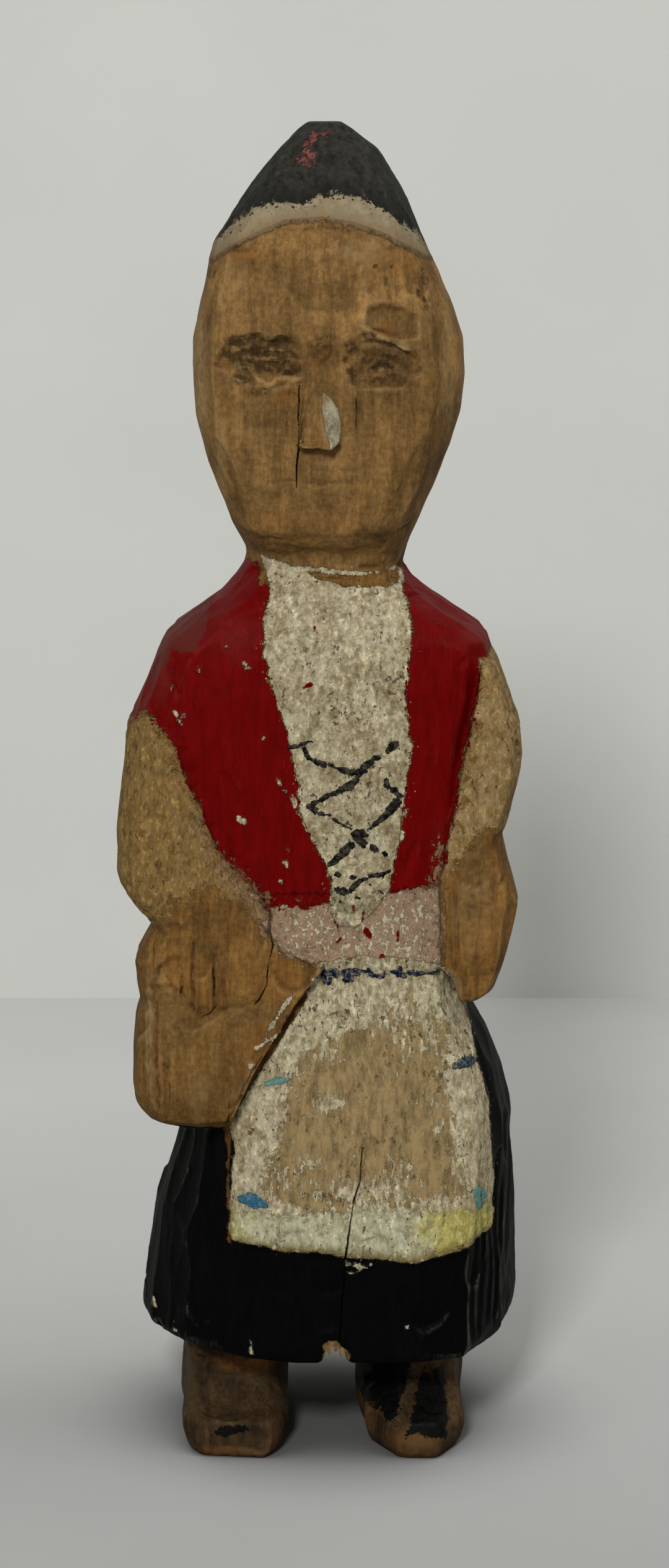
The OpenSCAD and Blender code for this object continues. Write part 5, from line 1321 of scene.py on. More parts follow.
# Coats of plain paint: the attribute with the distance to their edge, pale and dull tone, and how they lie
COATS = {
    # Chalky cream paint, laid on thick with a stiff brush, so that it dried in lumps with pits between
    "cream": ("coat_cream", ("cream", 1), ("cream_dull", 1), {
        "chips": 0.06, "flecks": 0.4, "thick": 0.1, "crust": 0.28, "rough": 0.8, "shift": 3.1, "pits": 0.5,
        "tall": 0.75, "grime": 0.75}),
    # The same on the apron
    "apron": ("coat_apron", ("cream", 1), ("cream_dull", 1), {
        "ragged": 0.25, "chips": 0.1, "flecks": 0.2, "thick": 0.1, "crust": 0.22, "rough": 0.8, "shift": 5.2,
        "pits": 0.45, "grime": 0.6}),
    # Worn so thin on the sleeves that the wood browns it
    "sleeve": ("coat_sleeve", ("sleeve", 1), ("sleeve_dull", 1), {
        "ragged": 2.2, "chips": 0.3, "flecks": 0.4, "thick": 0.03, "crust": 0.1, "rough": 0.78, "shift": 6.6,
        "pits": 0.5, "tall": 0.55, "coarse": 0.6, "grime": 0.6}),
    # Drops and torn scraps of the cream paint
    "fringe": ("coat_fringe", ("cream", 1), ("cream_dull", 1), {
        "ragged": 0.35, "flecks": 0.0, "thick": 0.1, "crust": 0.1, "rough": 0.8, "shift": 5.9}),
    # The highlight of the nose, dirtied by handling
    "nose": ("coat_nose", ("cream", 0.72), ("cream_dull", 0.7), {
        "ragged": 0.1, "chips": 0.16, "flecks": 0.0, "thick": 0.05, "crust": 0.16, "rough": 0.75, "shift": 9.1,
        "grime": 0.9}),
    # Crimson enamel, laid on thin and even, so that it has a soft gloss and few chips
    "red": ("coat_red", ("red", 1), ("red_deep", 1), {
        "ragged": 0.5, "chips": 0.04, "flecks": 0.5, "thick": 0.1, "crust": 0.03, "rough": 0.5, "shift": 7.7,
        "tall": 0.2}),
    "speck": ("coat_speck", ("red", 1), ("red_deep", 1), {
        "ragged": 0.15, "flecks": 0.0, "thick": 0.03, "crust": 0.03, "rough": 0.5, "shift": 1.9}),
    # Thin cream paint with crimson worked into it, scuffed so that two layers of paler scraps stand on it
    "waist": ("coat_waist", ("pink", 1), ("pink", 0.5), {
        "ragged": 0.6, "chips": 0.14, "flecks": 0.4, "thick": 0.04, "crust": 0.14, "rough": 0.78, "shift": 1.3,
        "tall": 0.8}),
    "waist_scrap": ("coat_waist", ("pink", 1.35), ("pink", 0.9), {
        "ragged": 0.4, "chips": 0.52, "thick": 0.03, "crust": 0.1, "rough": 0.78, "shift": 4.7, "tall": 0.7}),
    "waist_cream": ("coat_waist", ("cream", 1.04), ("cream", 0.78), {
        "ragged": 0.4, "chips": 1.12, "crust": 0.1, "thick": 0.05, "rough": 0.78, "shift": 9.7, "tall": 0.7}),
    # Brownish paint dragged thin over what it met
    "smear": ("coat_smear", ("smear", 1), ("smear", 0.45), {
        "ragged": 1.4, "chips": 0.62, "flecks": 0.4, "thick": 0.02, "crust": 0.06, "rough": 0.78, "shift": 14.2,
        "tall": 0.5}),
    # Black paint, satin where it is whole
    "skirt": ("coat_skirt", ("black", 1), ("black", 0.5), {
        "ragged": 0.25, "chips": 0.0, "flecks": 0.25, "thick": 0.06, "rough": 0.55, "shift": 2.4, "tall": 0.25}),
    # The apron's middle, worn through to a dirty tan
    "tan": ("coat_tan", ("tan", 1.26), ("tan", 0.58), {
        "ragged": 1.5, "chips": 0.56, "flecks": 0.35, "thick": -0.08, "rough": 0.74, "shift": 11.0, "tall": 0.3,
        "thin": 0.2, "coarse": 0.4}),
    # What is left of black paint on the shoes
    "shoe": ("coat_shoe", ("shoe_black", 1), ("black", 0.5), {
        "ragged": 0.5, "chips": 0.12, "flecks": 0.5, "thick": 0.04, "crust": 0.03, "shift": 12.0, "rough": 0.5}),
}
# Coats that were brushed on together
RED = ("red", "speck", "fringe")
WAIST = ("waist", "waist_scrap", "waist_cream")


def coated(tree, place, layers, paint, *names):
    """Several coats of plain paint, one over another."""
    for name in names:
        attribute, pale, dull, look = COATS[name]
        pale, dull = tones(paint, pale, dull)
        layers = coat(tree, place, layers, attribute, pale, dull, pit=paint.pit, **look)
    return layers


def band_coat(tree, place, layers, paint):
    """Thin cream paint under the cap's edge, browner at its foot."""
    paint_tone = faded(tree, "coat_band", 0.2, 1.7, paint.band_low, paint.band)
    layers = coat(tree, place, layers, "coat_band", paint_tone, shade(paint.band, 0.72), ragged=0.6, chips=0.26,
                  flecks=0.2, thick=0.04, crust=0.08, rough=0.75, shift=6.3, grime=0.6)
    distance = add(tree, "Attribute", attribute_name="coat_band", out="Fac")
    line = add(tree, "Math", {0: distance, 1: 0.1, 2: 0.35}, operation="COMPARE")
    line = add(tree, "Math", {0: line, 1: 0.3}, operation="MULTIPLY")
    colour = add(tree, "Mix", {0: line, 6: layers["colour"], 7: rgba(paint.dirt)}, **COLOURS)
    return {**layers, "colour": colour}


def head_material(paint):
    """Bare softwood, darkened by handling, with the band's and the blouse's paint over its ends."""
    material, tree, place = start_material("bare_face_wood")
    layers = bare_wood(tree, place, paint.face_wood, paint.face_dark, paint)
    layers = coated(tree, place, layers, paint, "nose")
    layers = band_coat(tree, place, layers, paint)
    layers = coated(tree, place, layers, paint, "cream", *RED)
    end_material(tree, cracked(tree, layers, paint.dirt))
    return material


def cap_material(paint):
    """Black paint rubbed grey on a whittled cap, with the band's paint under its edge and a red mark."""
    material, tree, place = start_material("rubbed_black_cap")
    layers = bare_wood(tree, place, paint.face_wood, paint.face_dark, paint)
    layers = band_coat(tree, place, layers, paint)
    edge_tone = faded(tree, "coat_cap", 0.2, 2.2, shade(paint.cap_black, 0.45), paint.cap_black)
    layers = coat(tree, place, layers, "coat_cap", edge_tone, shade(paint.cap_black, 0.3), ragged=0.8, chips=0.0,
                  flecks=0.8, thick=0.05, crust=0.08, rough=0.66, shift=4.4)
    layers = rub_edges(tree, place, layers, paint.black_worn)
    layers = coat(tree, place, layers, "coat_cap_red", paint.cap_red, paint.cap_red_dull, ragged=0.4, chips=0.66,
                  thick=0.02, crust=0.02, rough=0.7, shift=8.8)
    end_material(tree, layers)
    return material


def vest_material(paint):
    """Crimson enamel over wood, with a painted sheen on the shoulders and cream flecks from the blouse."""
    material, tree, place = start_material("crimson_enamel")
    layers = bare_wood(tree, place, paint.hand_wood, paint.hand_dark, paint)
    layers = coated(tree, place, layers, paint, "sleeve", *WAIST, *RED)
    # Painted sheen on the shoulders: patches and upward facets drawn in the duller crimson
    layers["colour"] = patched(tree, place, layers["colour"], "dusty", paint.red_sheen, 0.5, 0.5)
    layers["colour"] = faceted(tree, place, layers["colour"], "dusty_facet", shade(paint.red_sheen, 0.6), "MIX", 0.75)
    layers = rub_edges(tree, place, layers, paint.red_sheen, amount=0.3)
    layers = coated(tree, place, layers, paint, "smear", "cream")
    end_material(tree, cracked(tree, layers, paint.dirt), 0.03)
    return material


def blouse_material(paint):
    """Thick chalky cream paint with crimson at its border."""
    material, tree, place = start_material("chalky_cream_paint")
    layers = bare_wood(tree, place, paint.hand_wood, paint.hand_dark, paint)
    layers = coated(tree, place, layers, paint, *WAIST, "cream", *RED)
    end_material(tree, cracked(tree, layers, paint.dirt), 0.04)
    return material


def waist_material(paint):
    """Thin pinkish paint between the vest and the apron."""
    material, tree, place = start_material("pinkish_waist_paint")
    layers = bare_wood(tree, place, paint.hand_wood, paint.hand_dark, paint)
    layers = coated(tree, place, layers, paint, *WAIST, "cream", *RED, "apron", "skirt")
    end_material(tree, cracked(tree, layers, paint.dirt), 0.04)
    return material


def limb_material(name, pale, dark, paint, sleeve=None):
    """Bare wood of a hand or the bag, or of an arm under its sleeve's paint, with the paint of neighbours at its edges.

    sleeve gives the two tones of the sleeve's paint; without them it is the browned one.
    """
    material, tree, place = start_material(name)
    layers = bare_wood(tree, place, pale, dark, paint)
    sleeve = sleeve or (paint.sleeve_brown, paint.sleeve_brown_dull)
    layers = coat(tree, place, layers, "coat_sleeve", *sleeve, pit=paint.pit, **COATS["sleeve"][3])
    layers = coated(tree, place, layers, paint, *WAIST, *RED, "smear")
    end_material(tree, cracked(tree, layers, paint.dirt))
    return material


def skirt_material(paint):
    """Black paint over wood, rubbed grey along the ridges."""
    material, tree, place = start_material("rubbed_black_skirt")
    layers = bare_wood(tree, place, paint.hand_dark, shade(paint.hand_dark, 0.6), paint)
    layers = coated(tree, place, layers, paint, "skirt")
    layers = rub_edges(tree, place, layers, paint.black_worn, sides=True)
    layers = coated(tree, place, layers, paint, "apron", "fringe")
    end_material(tree, cracked(tree, layers, shade(paint.dirt, 0.4)), 0.03)
    return material


def apron_material(paint):
    """Chalky cream paint worn down to a tan middle, with a band that fades from pale green to yellow."""
    material, tree, place = start_material("worn_apron_paint")
    layers = bare_wood(tree, place, paint.bag_wood, paint.bag_dark, paint)
    layers = coated(tree, place, layers, paint, "apron", "tan")
    band = hem_colour(tree, place, paint)
    dark_band = add(tree, "Mix", {0: 1.0, 6: band, 7: (0.54, 0.5, 0.4, 1)}, blend_type="MULTIPLY", **COLOURS)
    layers = coat(tree, place, layers, "coat_hem", band, dark_band, ragged=1.4, chips=0.16, thick=0.0, crust=0.14,
                  rough=0.76, shift=13.0, pits=0.4, pit=paint.pit, grime=0.4)
    layers = coated(tree, place, layers, paint, "skirt", "fringe")
    end_material(tree, cracked(tree, layers, paint.dirt), 0.04)
    return material


def hem_colour(tree, place, paint):
    """The apron's band: yellow at both ends, pale green between them, and ochre at its foot."""
    across = add(tree, "SeparateXYZ", {0: place}, out=None)
    wander = add(tree, "TexNoise", {"Vector": place, "Scale": 0.4, "Detail": 5.0})
    wander = add(tree, "Math", {0: wander, 1: 9.0, 2: across.outputs[0]}, operation="MULTIPLY_ADD")
    yellow = add(tree, "MapRange", {0: wander, 1: 15.0, 2: 18.0})
    left = add(tree, "MapRange", {0: wander, 1: -3.0, 2: -5.0, 4: 0.6})
    yellow = add(tree, "Math", {0: yellow, 1: left}, operation="MAXIMUM")
    band = add(tree, "Mix", {0: yellow, 6: rgba(paint.pale_green), 7: rgba(paint.yellow)}, **COLOURS)
    edge = add(tree, "Attribute", attribute_name="coat_apron", out="Fac")
    low = add(tree, "MapRange", {0: edge, 1: 1.4, 2: 0.3, 4: 0.85})
    level = add(tree, "MapRange", {0: across.outputs[2], 1: 27.0, 2: 25.5})
    low = add(tree, "Math", {0: low, 1: level}, operation="MULTIPLY")
    return add(tree, "Mix", {0: low, 6: band, 7: rgba(paint.ochre)}, **COLOURS)


def shoe_material(paint):
    """Stained wood, darkened further by painted shade from the skirt, worn orange-brown at the edges, with what is left
    of black paint.
    """
    material, tree, place = start_material("stained_shoe_wood")
    layers = bare_wood(tree, place, paint.shoe_wood, paint.shoe_dark, paint, 0.6, paint.shoe_edge)
    end_material(tree, coated(tree, place, layers, paint, "shoe"))
    return material


def stroke_material(name, colour_of, dry):
    """Brushed paint strokes; dry is how much of the cream shows through, colour_of makes their colour."""
    material, tree, place = start_material(name)
    tone = add(tree, "TexNoise", {"Vector": place, "Scale": 1.8, "Detail": 6.0, "Roughness": 0.75})
    share = add(tree, "MapRange", {0: tone, 1: 0.48, 2: 0.58})
    colour = colour_of(tree, place)
    pale = add(tree, "Mix", {0: dry, 6: colour, 7: rgba(to_linear("#a0967b"))}, **COLOURS)
    mixed = add(tree, "Mix", {0: share, 6: colour, 7: pale}, **COLOURS)
    height = add(tree, "Math", {0: tone, 1: 0.12}, operation="MULTIPLY")
    rough = add(tree, "MapRange", {0: tone, 1: 0.3, 2: 0.7, 3: 0.55, 4: 0.75})
    end_material(tree, {"colour": mixed, "height": height, "rough": rough})
    return material


def lacing_colour(tree, place):
    """Black, with grey where the brush ran dry."""
    noise = add(tree, "TexNoise", {"Vector": place, "Scale": 0.9, "Detail": 3.0})
    share = add(tree, "MapRange", {0: noise, 1: 0.4, 2: 0.65})
    return add(tree, "Mix", {0: share, 6: rgba(to_linear("#070706")), 7: rgba(to_linear("#201e1b"))}, **COLOURS)


def stitch_colour(paint):
    """Navy along the waist, blue at the hip and lower right, teal where the paint is thin."""
    def colour(tree, place):
        across = add(tree, "SeparateXYZ", {0: place}, out=None)
        high = add(tree, "MapRange", {0: across.outputs[2], 1: 50.0, 2: 52.0})
        left = add(tree, "MapRange", {0: across.outputs[0], 1: 0.0, 2: 1.0})
        up = add(tree, "MapRange", {0: across.outputs[2], 1: 38.0, 2: 39.0})
        same = add(tree, "Math", {0: left, 1: up, 2: 0.5}, operation="COMPARE")
        low = add(tree, "Mix", {0: same, 6: rgba(paint.teal), 7: rgba(paint.blue)}, **COLOURS)
        hip = add(tree, "Math", {0: left, 1: up}, operation="MULTIPLY")
        low = add(tree, "Mix", {0: hip, 6: low, 7: rgba(shade(paint.blue, 0.3))}, **COLOURS)
        return add(tree, "Mix", {0: high, 6: low, 7: rgba(paint.navy)}, **COLOURS)
    return colour


def dowel_material(paint):
    """Beech dowel, turned and never exposed, so it is pale and clean with fine grain along it."""
    material, tree, place = start_material("beech_dowel")
    grain = add(tree, "TexNoise", {"Vector": place, "Scale": 0.9, "Detail": 5.0})
    share = add(tree, "MapRange", {0: grain, 1: 0.3, 2: 0.7})
    colour = add(tree, "Mix", {0: share, 6: rgba(shade(paint.dowel, 0.8)), 7: rgba(paint.dowel)}, **COLOURS)
    height = add(tree, "Math", {0: grain, 1: 0.05}, operation="MULTIPLY")
    rough = add(tree, "MapRange", {0: grain, 3: 0.5, 4: 0.7})
    end_material(tree, {"colour": colour, "height": height, "rough": rough})
    return material


def front_patch(mesh, strokes, reach):
    """The faces of a mesh that lie on its front within reach mm of a stroke, as a new mesh."""
    points, normals = read_vertices(mesh), read_normals(mesh)
    keep = (any_stroke(points, strokes) > -reach) & (normals[:, 1] < -0.3)
    work = bmesh.new()
    work.from_mesh(mesh)
    work.verts.ensure_lookup_table()
    bmesh.ops.delete(work, geom=[v for v in work.verts if not keep[v.index]], context="VERTS")
    return shaped(work, "patch")


def stroke_curve(strokes):
    """The lines of brush strokes as a curve in the plane y = 0, with the half width as its radius."""
    curve = bpy.data.curves.new("strokes", "CURVE")
    curve.dimensions = "3D"
    for line in strokes:
        spline = curve.splines.new("POLY")
        spline.points.add(len(line) - 1)
        for point, (x, z, half_w) in zip(spline.points, line):
            point.co = (x * MM, 0, z * MM, 1)
            point.radius = half_w * MM
    return link_object("strokes", curve)


def stroke_tree():
    """Geometry nodes that keep the part of a surface under brush strokes and raise it into thin paint."""
    tree = bpy.data.node_groups.new("brush_strokes", "GeometryNodeTree")
    face = tree.interface
    face.new_socket("Geometry", in_out="INPUT", socket_type="NodeSocketGeometry")
    face.new_socket("Strokes", in_out="INPUT", socket_type="NodeSocketObject")
    face.new_socket("Thickness", in_out="INPUT", socket_type="NodeSocketFloat")
    face.new_socket("Raggedness", in_out="INPUT", socket_type="NodeSocketFloat")
    face.new_socket("Seed", in_out="INPUT", socket_type="NodeSocketFloat")
    face.new_socket("Paint", in_out="INPUT", socket_type="NodeSocketMaterial")
    face.new_socket("Geometry", in_out="OUTPUT", socket_type="NodeSocketGeometry")
    given = add(tree, "NodeGroupInput", out=None)
    lines = add(tree, "GeometryNodeObjectInfo", {"Object": given.outputs["Strokes"]}, out="Geometry")
    lines = add(tree, "GeometryNodeResampleCurve", {"Curve": lines, "Length": 0.05 * MM}, mode="LENGTH")
    dots = add(tree, "GeometryNodeCurveToPoints", {"Curve": lines}, mode="EVALUATED", out="Points")
    radius = add(tree, "GeometryNodeInputRadius")
    place = add(tree, "GeometryNodeInputPosition")
    flat = add(tree, "VectorMath", {0: place, 1: (1, 0, 1)}, operation="MULTIPLY")
    nearest = add(tree, "GeometryNodeSampleNearest", {"Geometry": dots, "Sample Position": flat}, domain="POINT")
    half_w = add(tree, "GeometryNodeSampleIndex", {"Geometry": dots, "Value": radius, "Index": nearest}, domain="POINT")
    dot_place = add(tree, "GeometryNodeSampleIndex", {
        "Geometry": dots, "Value": place, "Index": nearest}, data_type="FLOAT_VECTOR", domain="POINT")
    away = add(tree, "VectorMath", {0: flat, 1: dot_place}, operation="DISTANCE", out="Value")
    fine = add(tree, "GeometryNodeSubdivideMesh", {"Mesh": given.outputs["Geometry"], "Level": 2})
    noise = add(tree, "TexNoise", {
        "Vector": place, "W": given.outputs["Seed"], "Scale": 1.25 / MM, "Detail": 3.0, "Roughness": 0.7},
        noise_dimensions="4D")
    noise = add(tree, "Math", {0: noise, 1: 0.5}, operation="SUBTRACT")
    wander = add(tree, "Math", {0: noise, 1: given.outputs["Raggedness"]}, operation="MULTIPLY")
    away = add(tree, "Math", {0: away, 1: wander})
    outside = add(tree, "Math", {0: away, 1: half_w}, operation="GREATER_THAN")
    kept = add(tree, "GeometryNodeDeleteGeometry", {"Geometry": fine, "Selection": outside}, domain="POINT", mode="ALL")
    share = add(tree, "Math", {0: away, 1: half_w}, operation="DIVIDE")
    lift = add(tree, "MapRange", {0: share, 1: 1.0, 2: 0.4, 3: 0.25, 4: 1.0})
    lift = add(tree, "Math", {0: lift, 1: given.outputs["Thickness"]}, operation="MULTIPLY")
    raised = add(tree, "GeometryNodeExtrudeMesh", {
        "Mesh": kept, "Offset Scale": given.outputs["Thickness"], "Individual": False}, mode="FACES", out=None)
    lower = add(tree, "Math", {0: lift, 1: given.outputs["Thickness"]}, operation="SUBTRACT")
    normal = add(tree, "GeometryNodeInputNormal")
    drop = add(tree, "VectorMath", {0: normal, "Scale": lower}, operation="SCALE")
    top = add(tree, "GeometryNodeSetPosition", {
        "Geometry": raised.outputs["Mesh"], "Selection": raised.outputs["Top"], "Offset": drop})
    base = add(tree, "GeometryNodeFlipFaces", {"Mesh": kept})
    whole = add(tree, "GeometryNodeJoinGeometry", out=None).inputs[0]
    tree.links.new(top, whole)
    tree.links.new(base, whole)
    closed = add(tree, "GeometryNodeMergeByDistance", {"Geometry": whole.node.outputs[0], "Distance": 0.001 * MM})
    real = add(tree, "GeometryNodeRealizeInstances", {0: closed})
    painted = add(tree, "GeometryNodeSetMaterial", {"Geometry": real, "Material": given.outputs["Paint"]})
    add(tree, "NodeGroupOutput", {0: painted}, out=None)
    return tree


def brushed(node, surface, strokes, thick, ragged, seed, material):
    """Paint strokes that follow a carved surface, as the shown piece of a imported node."""
    curve = stroke_curve(strokes)
    obj = link_object(node + "_brushed", front_patch(surface.data, strokes, 1.0))
    tree = stroke_tree()
    nodes = obj.modifiers.new("strokes", "NODES")
    nodes.node_group = tree
    values = {"Strokes": curve, "Thickness": thick, "Raggedness": ragged, "Seed": float(seed), "Paint": material}
    for item in tree.interface.items_tree:
        if item.in_out == "INPUT" and item.name in values:
            nodes[item.identifier] = values[item.name]
    mesh = bpy.data.meshes.new_from_object(obj.evaluated_get(bpy.context.evaluated_depsgraph_get()))
    obj.modifiers.clear()
    obj.data = mesh
    bpy.data.objects.remove(curve)
    if not len(mesh.polygons):
        raise RuntimeError(f"{node}: the brush left no paint")
    if not mesh.materials:
        mesh.materials.append(material)
    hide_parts(node)
    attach(obj, BODY)
    return obj


class FIGURE_OT_block(bpy.types.Operator):
    """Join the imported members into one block, carve it and rough it out into stocks"""

    bl_idname = "figure.block"
    bl_label = "Carve the block"

    def execute(self, context):
        block = carve_block(context.scene.figure_carving)
        Skin.whole = Skin(block)
        stocks["body"] = saw(block, prism(HEM_NOTCH, -8), "DIFFERENCE")
        split_off("body", "head", slab(NECK_Z, TIP_Z + 20))
        split_off("body", "feet", slab(-20, HEM_Z))
        return {"FINISHED"}


class FIGURE_OT_head(bpy.types.Operator):
    """Saw off the cap, its band and the nose, and finish the bare head"""

    bl_idname = "figure.head"
    bl_label = "Head, nose and cap"

    def execute(self, context):
        paint, carving = context.scene.figure_paint, context.scene.figure_carving
        split_off("head", "cap", above(CAP_EDGE))
        split_off("head", "cap_band", above(BAND_EDGE))
        split_off("head", "nose", prism(NOSE_OUTLINE, -NOSE_BASE))
        head = saw(stocks.pop("head"), dowel_bore("neck_peg", carving.dowel_gap, "Z"), "DIFFERENCE")
        wood, black = head_material(paint), cap_material(paint)
        finish_member("cap", stocks.pop("cap"), black)
        finish_member("cap_band", stocks.pop("cap_band"), black)
        finish_member("nose", stocks.pop("nose"), wood)
        finish_member("head", head, wood)
        return {"FINISHED"}


class FIGURE_OT_arms(bpy.types.Operator):
    """Saw off both sleeves, both hands and the bag"""

    bl_idname = "figure.arms"
    bl_label = "Sleeves, hands and bag"

    def execute(self, context):
        paint, carving = context.scene.figure_paint, context.scene.figure_carving
        low, high = CORE_LEVELS
        side = through([(-FAR, low), (CORE_X, low), (CORE_X, high), (-FAR, high)])
        wood = (paint.hand_wood, paint.hand_dark, paint)
        sleeve = limb_material("worn_cream_sleeve", *wood, (paint.sleeve, paint.sleeve_dull))
        dim_sleeve = limb_material("browned_cream_sleeve", *wood)
        hand = limb_material("bare_hand_wood", *wood)
        bag = limb_material("bare_bag_wood", paint.bag_wood, paint.bag_dark, paint)
        for node, outline, material, slot in (
                ("right_sleeve", RIGHT_SLEEVE_OUTLINE, dim_sleeve, "sleeve_paint"),
                ("left_sleeve", LEFT_SLEEVE_OUTLINE, sleeve, "sleeve_paint"),
                ("left_hand", LEFT_HAND_OUTLINE, hand, "hand_wood"),
                ("right_hand", RIGHT_HAND_OUTLINE, hand, "hand_wood"),
                ("bag", BAG_OUTLINE, bag, "bag_wood")):
            cutter = prism(outline, ARM_BACK)
            if node in ("right_hand", "bag"):
                cutter = saw(saw(cutter, side, "INTERSECT"), prism(outline, RELIEF_BACK), "UNION")
            split_off("body", node, cutter)
            mesh = stocks.pop(node)
            if node.endswith("sleeve"):
                bore = dowel_bore(node.replace("sleeve", "arm_peg"), carving.dowel_gap, "X")
                mesh = saw(mesh, bore, "DIFFERENCE")
            finish_member(node, mesh, material)
        return {"FINISHED"}


class FIGURE_OT_bodice(bpy.types.Operator):
    """Saw the blouse front and the waistband from the vest"""

    bl_idname = "figure.bodice"
    bl_label = "Vest, blouse and waistband"

    def execute(self, context):
        paint, carving = context.scene.figure_paint, context.scene.figure_carving
        split_off("body", "skirt", slab(-20, WAIST_Z))
        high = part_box("waistband")[1].z / MM
        low = high - WAIST_TILT
        split_off("body", "waistband", through([
            (-FAR, 20), (FAR, 20), (FAR, high + 5), (18, high), (-18, low), (-FAR, low - 5)]))
        blouse = [(x, min(z, NECK_Z + 1)) for x, z in BLOUSE_OUTLINE]
        split_off("body", "blouse", prism(blouse, BLOUSE_BACK))
        vest = stocks.pop("body")
        for node, axis in (("neck_peg", "Z"), ("waist_peg", "Z"), ("right_arm_peg", "X"), ("left_arm_peg", "X")):
            vest = saw(vest, dowel_bore(node, carving.dowel_gap, axis), "DIFFERENCE")
        waist = saw(stocks.pop("waistband"), dowel_bore("waist_peg", carving.dowel_gap, "Z"), "DIFFERENCE")
        finish_member("vest", vest, vest_material(paint))
        finish_member("blouse", stocks.pop("blouse"), blouse_material(paint))
        finish_member("waistband", waist, waist_material(paint))
        return {"FINISHED"}


class FIGURE_OT_skirt(bpy.types.Operator):
    """Saw the apron and its lower band from the skirt"""

    bl_idname = "figure.skirt"
    bl_label = "Skirt and apron"

    def execute(self, context):
        paint, carving = context.scene.figure_paint, context.scene.figure_carving
        split_off("skirt", "apron", prism(APRON_OUTLINE, APRON_BACK))
        split_off("apron", "apron_hem", slab(0, HEM_BAND_Z))
        skirt = saw(stocks.pop("skirt"), dowel_bore("waist_peg", carving.dowel_gap, "Z"), "DIFFERENCE")
        apron = apron_material(paint)
        finish_member("skirt", skirt, skirt_material(paint))
        finish_member("apron", stocks.pop("apron"), apron)
        finish_member("apron_hem", stocks.pop("apron_hem"), apron)
        return {"FINISHED"}


class FIGURE_OT_feet(bpy.types.Operator):
    """Saw the legs from the shoes, and right from left"""

    bl_idname = "figure.feet"
    bl_label = "Legs and shoes"

    def execute(self, context):
        material = shoe_material(context.scene.figure_paint)
        split_off("feet", "legs", slab(ANKLE_Z, HEM_Z + 5))
        for source, name in (("legs", "leg"), ("feet", "shoe")):
            split_off(source, "left_" + name, through([(0, -20), (FAR, -20), (FAR, 40), (0, 40)]))
            finish_member("left_" + name, stocks.pop("left_" + name), material)
            finish_member("right_" + name, stocks.pop(source), material)
        return {"FINISHED"}


class FIGURE_OT_strokes(bpy.types.Operator):
    """Brush the black lacing on the blouse and the blue stitches on the apron"""

    bl_idname = "figure.strokes"
    bl_label = "Lacing and stitches"

    def execute(self, context):
        paint, carving = context.scene.figure_paint, context.scene.figure_carving
        black = stroke_material("brushed_black", lacing_colour, 0.12)
        blue = stroke_material("brushed_blue", stitch_colour(paint), 0.36)
        for node, surfaces, strokes, material, slot, seed in (
                ("lacing", ("vest", "blouse", "waistband"), LACING, black, "black_paint", 1),
                ("apron_stitches", ("apron", "apron_hem", "waistband"), BLUE, blue, "blue_paint", 2)):
            parts = [bpy.data.objects[name + "_carved"].data for name in surfaces]
            surface = link_object("surface", joined(*parts))
            brushed(node, surface, strokes, carving.stroke_thick, 1.0 * MM, seed, material)
            bpy.data.objects.remove(surface)
        return {"FINISHED"}


class FIGURE_OT_dowels(bpy.types.Operator):
    """Give the hidden dowels their wood"""

    bl_idname = "figure.dowels"
    bl_label = "Dowels"

    def execute(self, context):
        material = dowel_material(context.scene.figure_paint)
        for name in DOWEL_NODES:
            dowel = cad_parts[name]
            if not dowel.material_slots:
                dowel.data.materials.append(material)
            for place in dowel.material_slots:
                place.material = material
        return {"FINISHED"}


class FIGURE_OT_stage(bpy.types.Operator):
    """Set up the floor, the backdrop, the lamps and the camera"""

    bl_idname = "figure.stage"
    bl_label = "Stage"

    def execute(self, context):
        scene, stage = context.scene, context.scene.figure_stage
        wall_y = stage.wall_y
        floor = plane("floor", [(-2, -2, 0), (2, -2, 0), (2, 2, 0), (-2, 2, 0)])
        # The floor carries painted shade towards the camera and a painted contact shadow round the figure
        floor.data.materials.append(stage_material("pale_table", stage.floor, False, 0.76))
        wall = plane("wall", [(-2, wall_y, 0), (2, wall_y, 0), (2, wall_y, 1.6), (-2, wall_y, 1.6)])
        wall.data.materials.append(stage_material("pale_wall", stage.wall, True))
        world = bpy.data.worlds.new("even_light")
        world.use_nodes = True
        sky = world.node_tree.nodes["Background"]
        sky.inputs["Color"].default_value = (*to_linear("#f8f8f8"), 1)
        sky.inputs["Strength"].default_value = stage.sky
        scene.world = world
        lamp("key", KEY_PLACE, 0.13, stage.key, "#ffffff")
        lamp("top", TOP_PLACE, 0.4, stage.top, "#ffffff")
        camera = bpy.data.cameras.new("camera")
        camera.sensor_width = 36
        camera.lens = EYE_LENS
        camera.clip_start = 0.01
        eye = link_object("camera", camera)
        eye.location = EYE_PLACE
        eye.rotation_euler = (math.radians(90 - EYE_TILT), 0, 0)
        scene.camera = eye
        scene.view_settings.view_transform = "Standard"
        return {"FINISHED"}


def plane(name, corners):
    """A flat sheet through four corners in metres."""
    mesh = bpy.data.meshes.new(name)
    mesh.from_pydata(corners, [], [(0, 1, 2, 3)])
    return link_object(name, mesh)


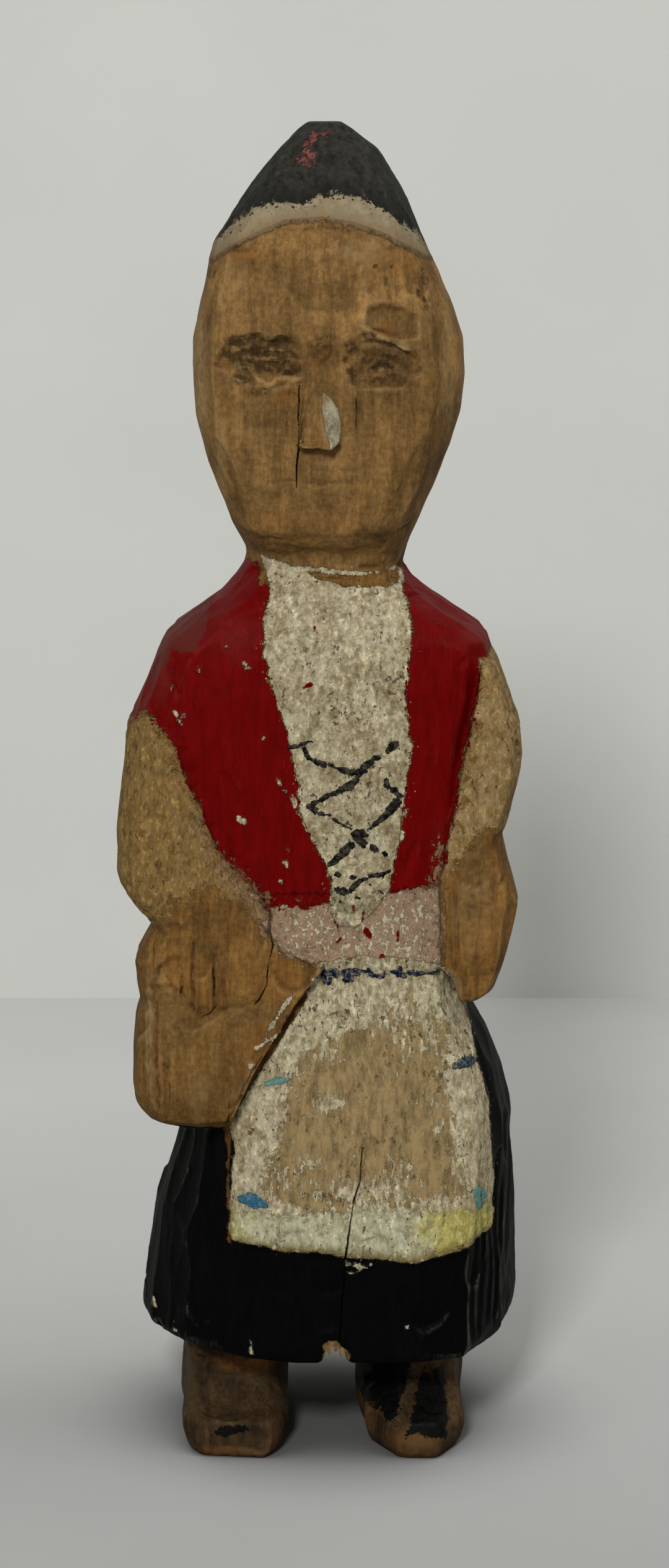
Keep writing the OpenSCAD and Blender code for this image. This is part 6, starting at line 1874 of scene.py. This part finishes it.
def stage_material(name, colour, one_sided, near=1.0):
    """Matt painted board with a trace of mottle. With near under 1 it carries painted shade: darker by that factor
    near the camera, paler towards the back, and a painted contact shadow where the figure stands.

    With one side it lets views from behind look through it.
    """
    material, tree, place = start_material(name)
    mottle = add(tree, "TexNoise", {"Vector": place, "Scale": 0.02, "Detail": 5.0})
    share = add(tree, "MapRange", {0: mottle, 1: 0.3, 2: 0.7})
    mixed = add(tree, "Mix", {0: share, 6: rgba(shade(colour, 0.97)), 7: rgba(shade(colour, 1.03))}, **COLOURS)
    # Painted shade on the floor: darker towards the camera, paler towards the back, and a painted contact shadow from
    # ambient occlusion round the figure
    if near < 1:
        depth = add(tree, "SeparateXYZ", {0: place}, out=1)
        tone = add(tree, "MapRange", {0: depth, 1: -60.0, 2: 130.0, 3: near, 4: 1.17})
        open_share = add(tree, "AmbientOcclusion", {"Distance": 25 * MM}, samples=16, out="AO")
        painted_contact_shadow = add(tree, "MapRange", {0: open_share, 1: 0.3, 2: 0.85, 3: 0.26, 4: 1.0})
        back = add(tree, "MapRange", {0: depth, 1: 60.0, 2: 110.0})
        painted_contact_shadow = add(tree, "Math", {0: painted_contact_shadow, 1: back}, operation="MAXIMUM")
        tone = add(tree, "Math", {0: tone, 1: painted_contact_shadow}, operation="MULTIPLY")
        mixed = add(tree, "Mix", {0: 1.0, 6: mixed, 7: tone}, blend_type="MULTIPLY", **COLOURS)
    shader = add(tree, "BsdfDiffuse", {0: mixed})
    if one_sided:
        behind = add(tree, "NewGeometry", out="Backfacing")
        clear = add(tree, "BsdfTransparent")
        shader = add(tree, "MixShader", {0: behind, 1: shader, 2: clear})
    add(tree, "OutputMaterial", {0: shader}, out=None)
    return material


def lamp(name, place, size, power, hex_colour):
    """A square soft lamp that points at the middle of the figure."""
    light = bpy.data.lights.new(name, "AREA")
    light.size = size
    light.energy = power
    light.color = to_linear(hex_colour)
    obj = link_object(name, light)
    obj.location = place
    aim = Vector((0, 0, 0.08)) - Vector(place)
    obj.rotation_euler = aim.to_track_quat("-Z", "Y").to_euler()
    return obj


class FIGURE_PT_panel(bpy.types.Panel):
    """Lists the steps that make the figure"""

    bl_idname = "FIGURE_PT_panel"
    bl_label = "Whittled figure"
    bl_space_type = "VIEW_3D"
    bl_region_type = "UI"
    bl_category = "Figure"

    def draw(self, context):
        for step in STEPS:
            self.layout.operator(step.bl_idname)
        for group in ("figure_carving", "figure_paint", "figure_stage"):
            settings = getattr(context.scene, group)
            box = self.layout.box()
            for name in settings.bl_rna.properties.keys()[2:]:
                box.prop(settings, name)


GROUPS = {"figure_carving": FigureCarving, "figure_paint": FigurePaint, "figure_stage": FigureStage}
STEPS = (
    FIGURE_OT_block, FIGURE_OT_head, FIGURE_OT_arms, FIGURE_OT_bodice, FIGURE_OT_skirt, FIGURE_OT_feet,
    FIGURE_OT_strokes, FIGURE_OT_dowels, FIGURE_OT_stage,
)


def register():
    """Make the settings, the steps and the panel known to Blender."""
    for name, group in GROUPS.items():
        bpy.utils.register_class(group)
        setattr(bpy.types.Scene, name, bpy.props.PointerProperty(type=group))
    for step in STEPS:
        bpy.utils.register_class(step)
    bpy.utils.register_class(FIGURE_PT_panel)


def unregister():
    """Take them away again."""
    bpy.utils.unregister_class(FIGURE_PT_panel)
    for step in reversed(STEPS):
        bpy.utils.unregister_class(step)
    for name, group in GROUPS.items():
        delattr(bpy.types.Scene, name)
        bpy.utils.unregister_class(group)


def main():
    """Make the whole figure and its stage."""
    register()
    bpy.ops.figure.block()
    bpy.ops.figure.head()
    bpy.ops.figure.arms()
    bpy.ops.figure.bodice()
    bpy.ops.figure.skirt()
    bpy.ops.figure.feet()
    bpy.ops.figure.strokes()
    bpy.ops.figure.dowels()
    bpy.ops.figure.stage()


if __name__ == "__main__":
    main()
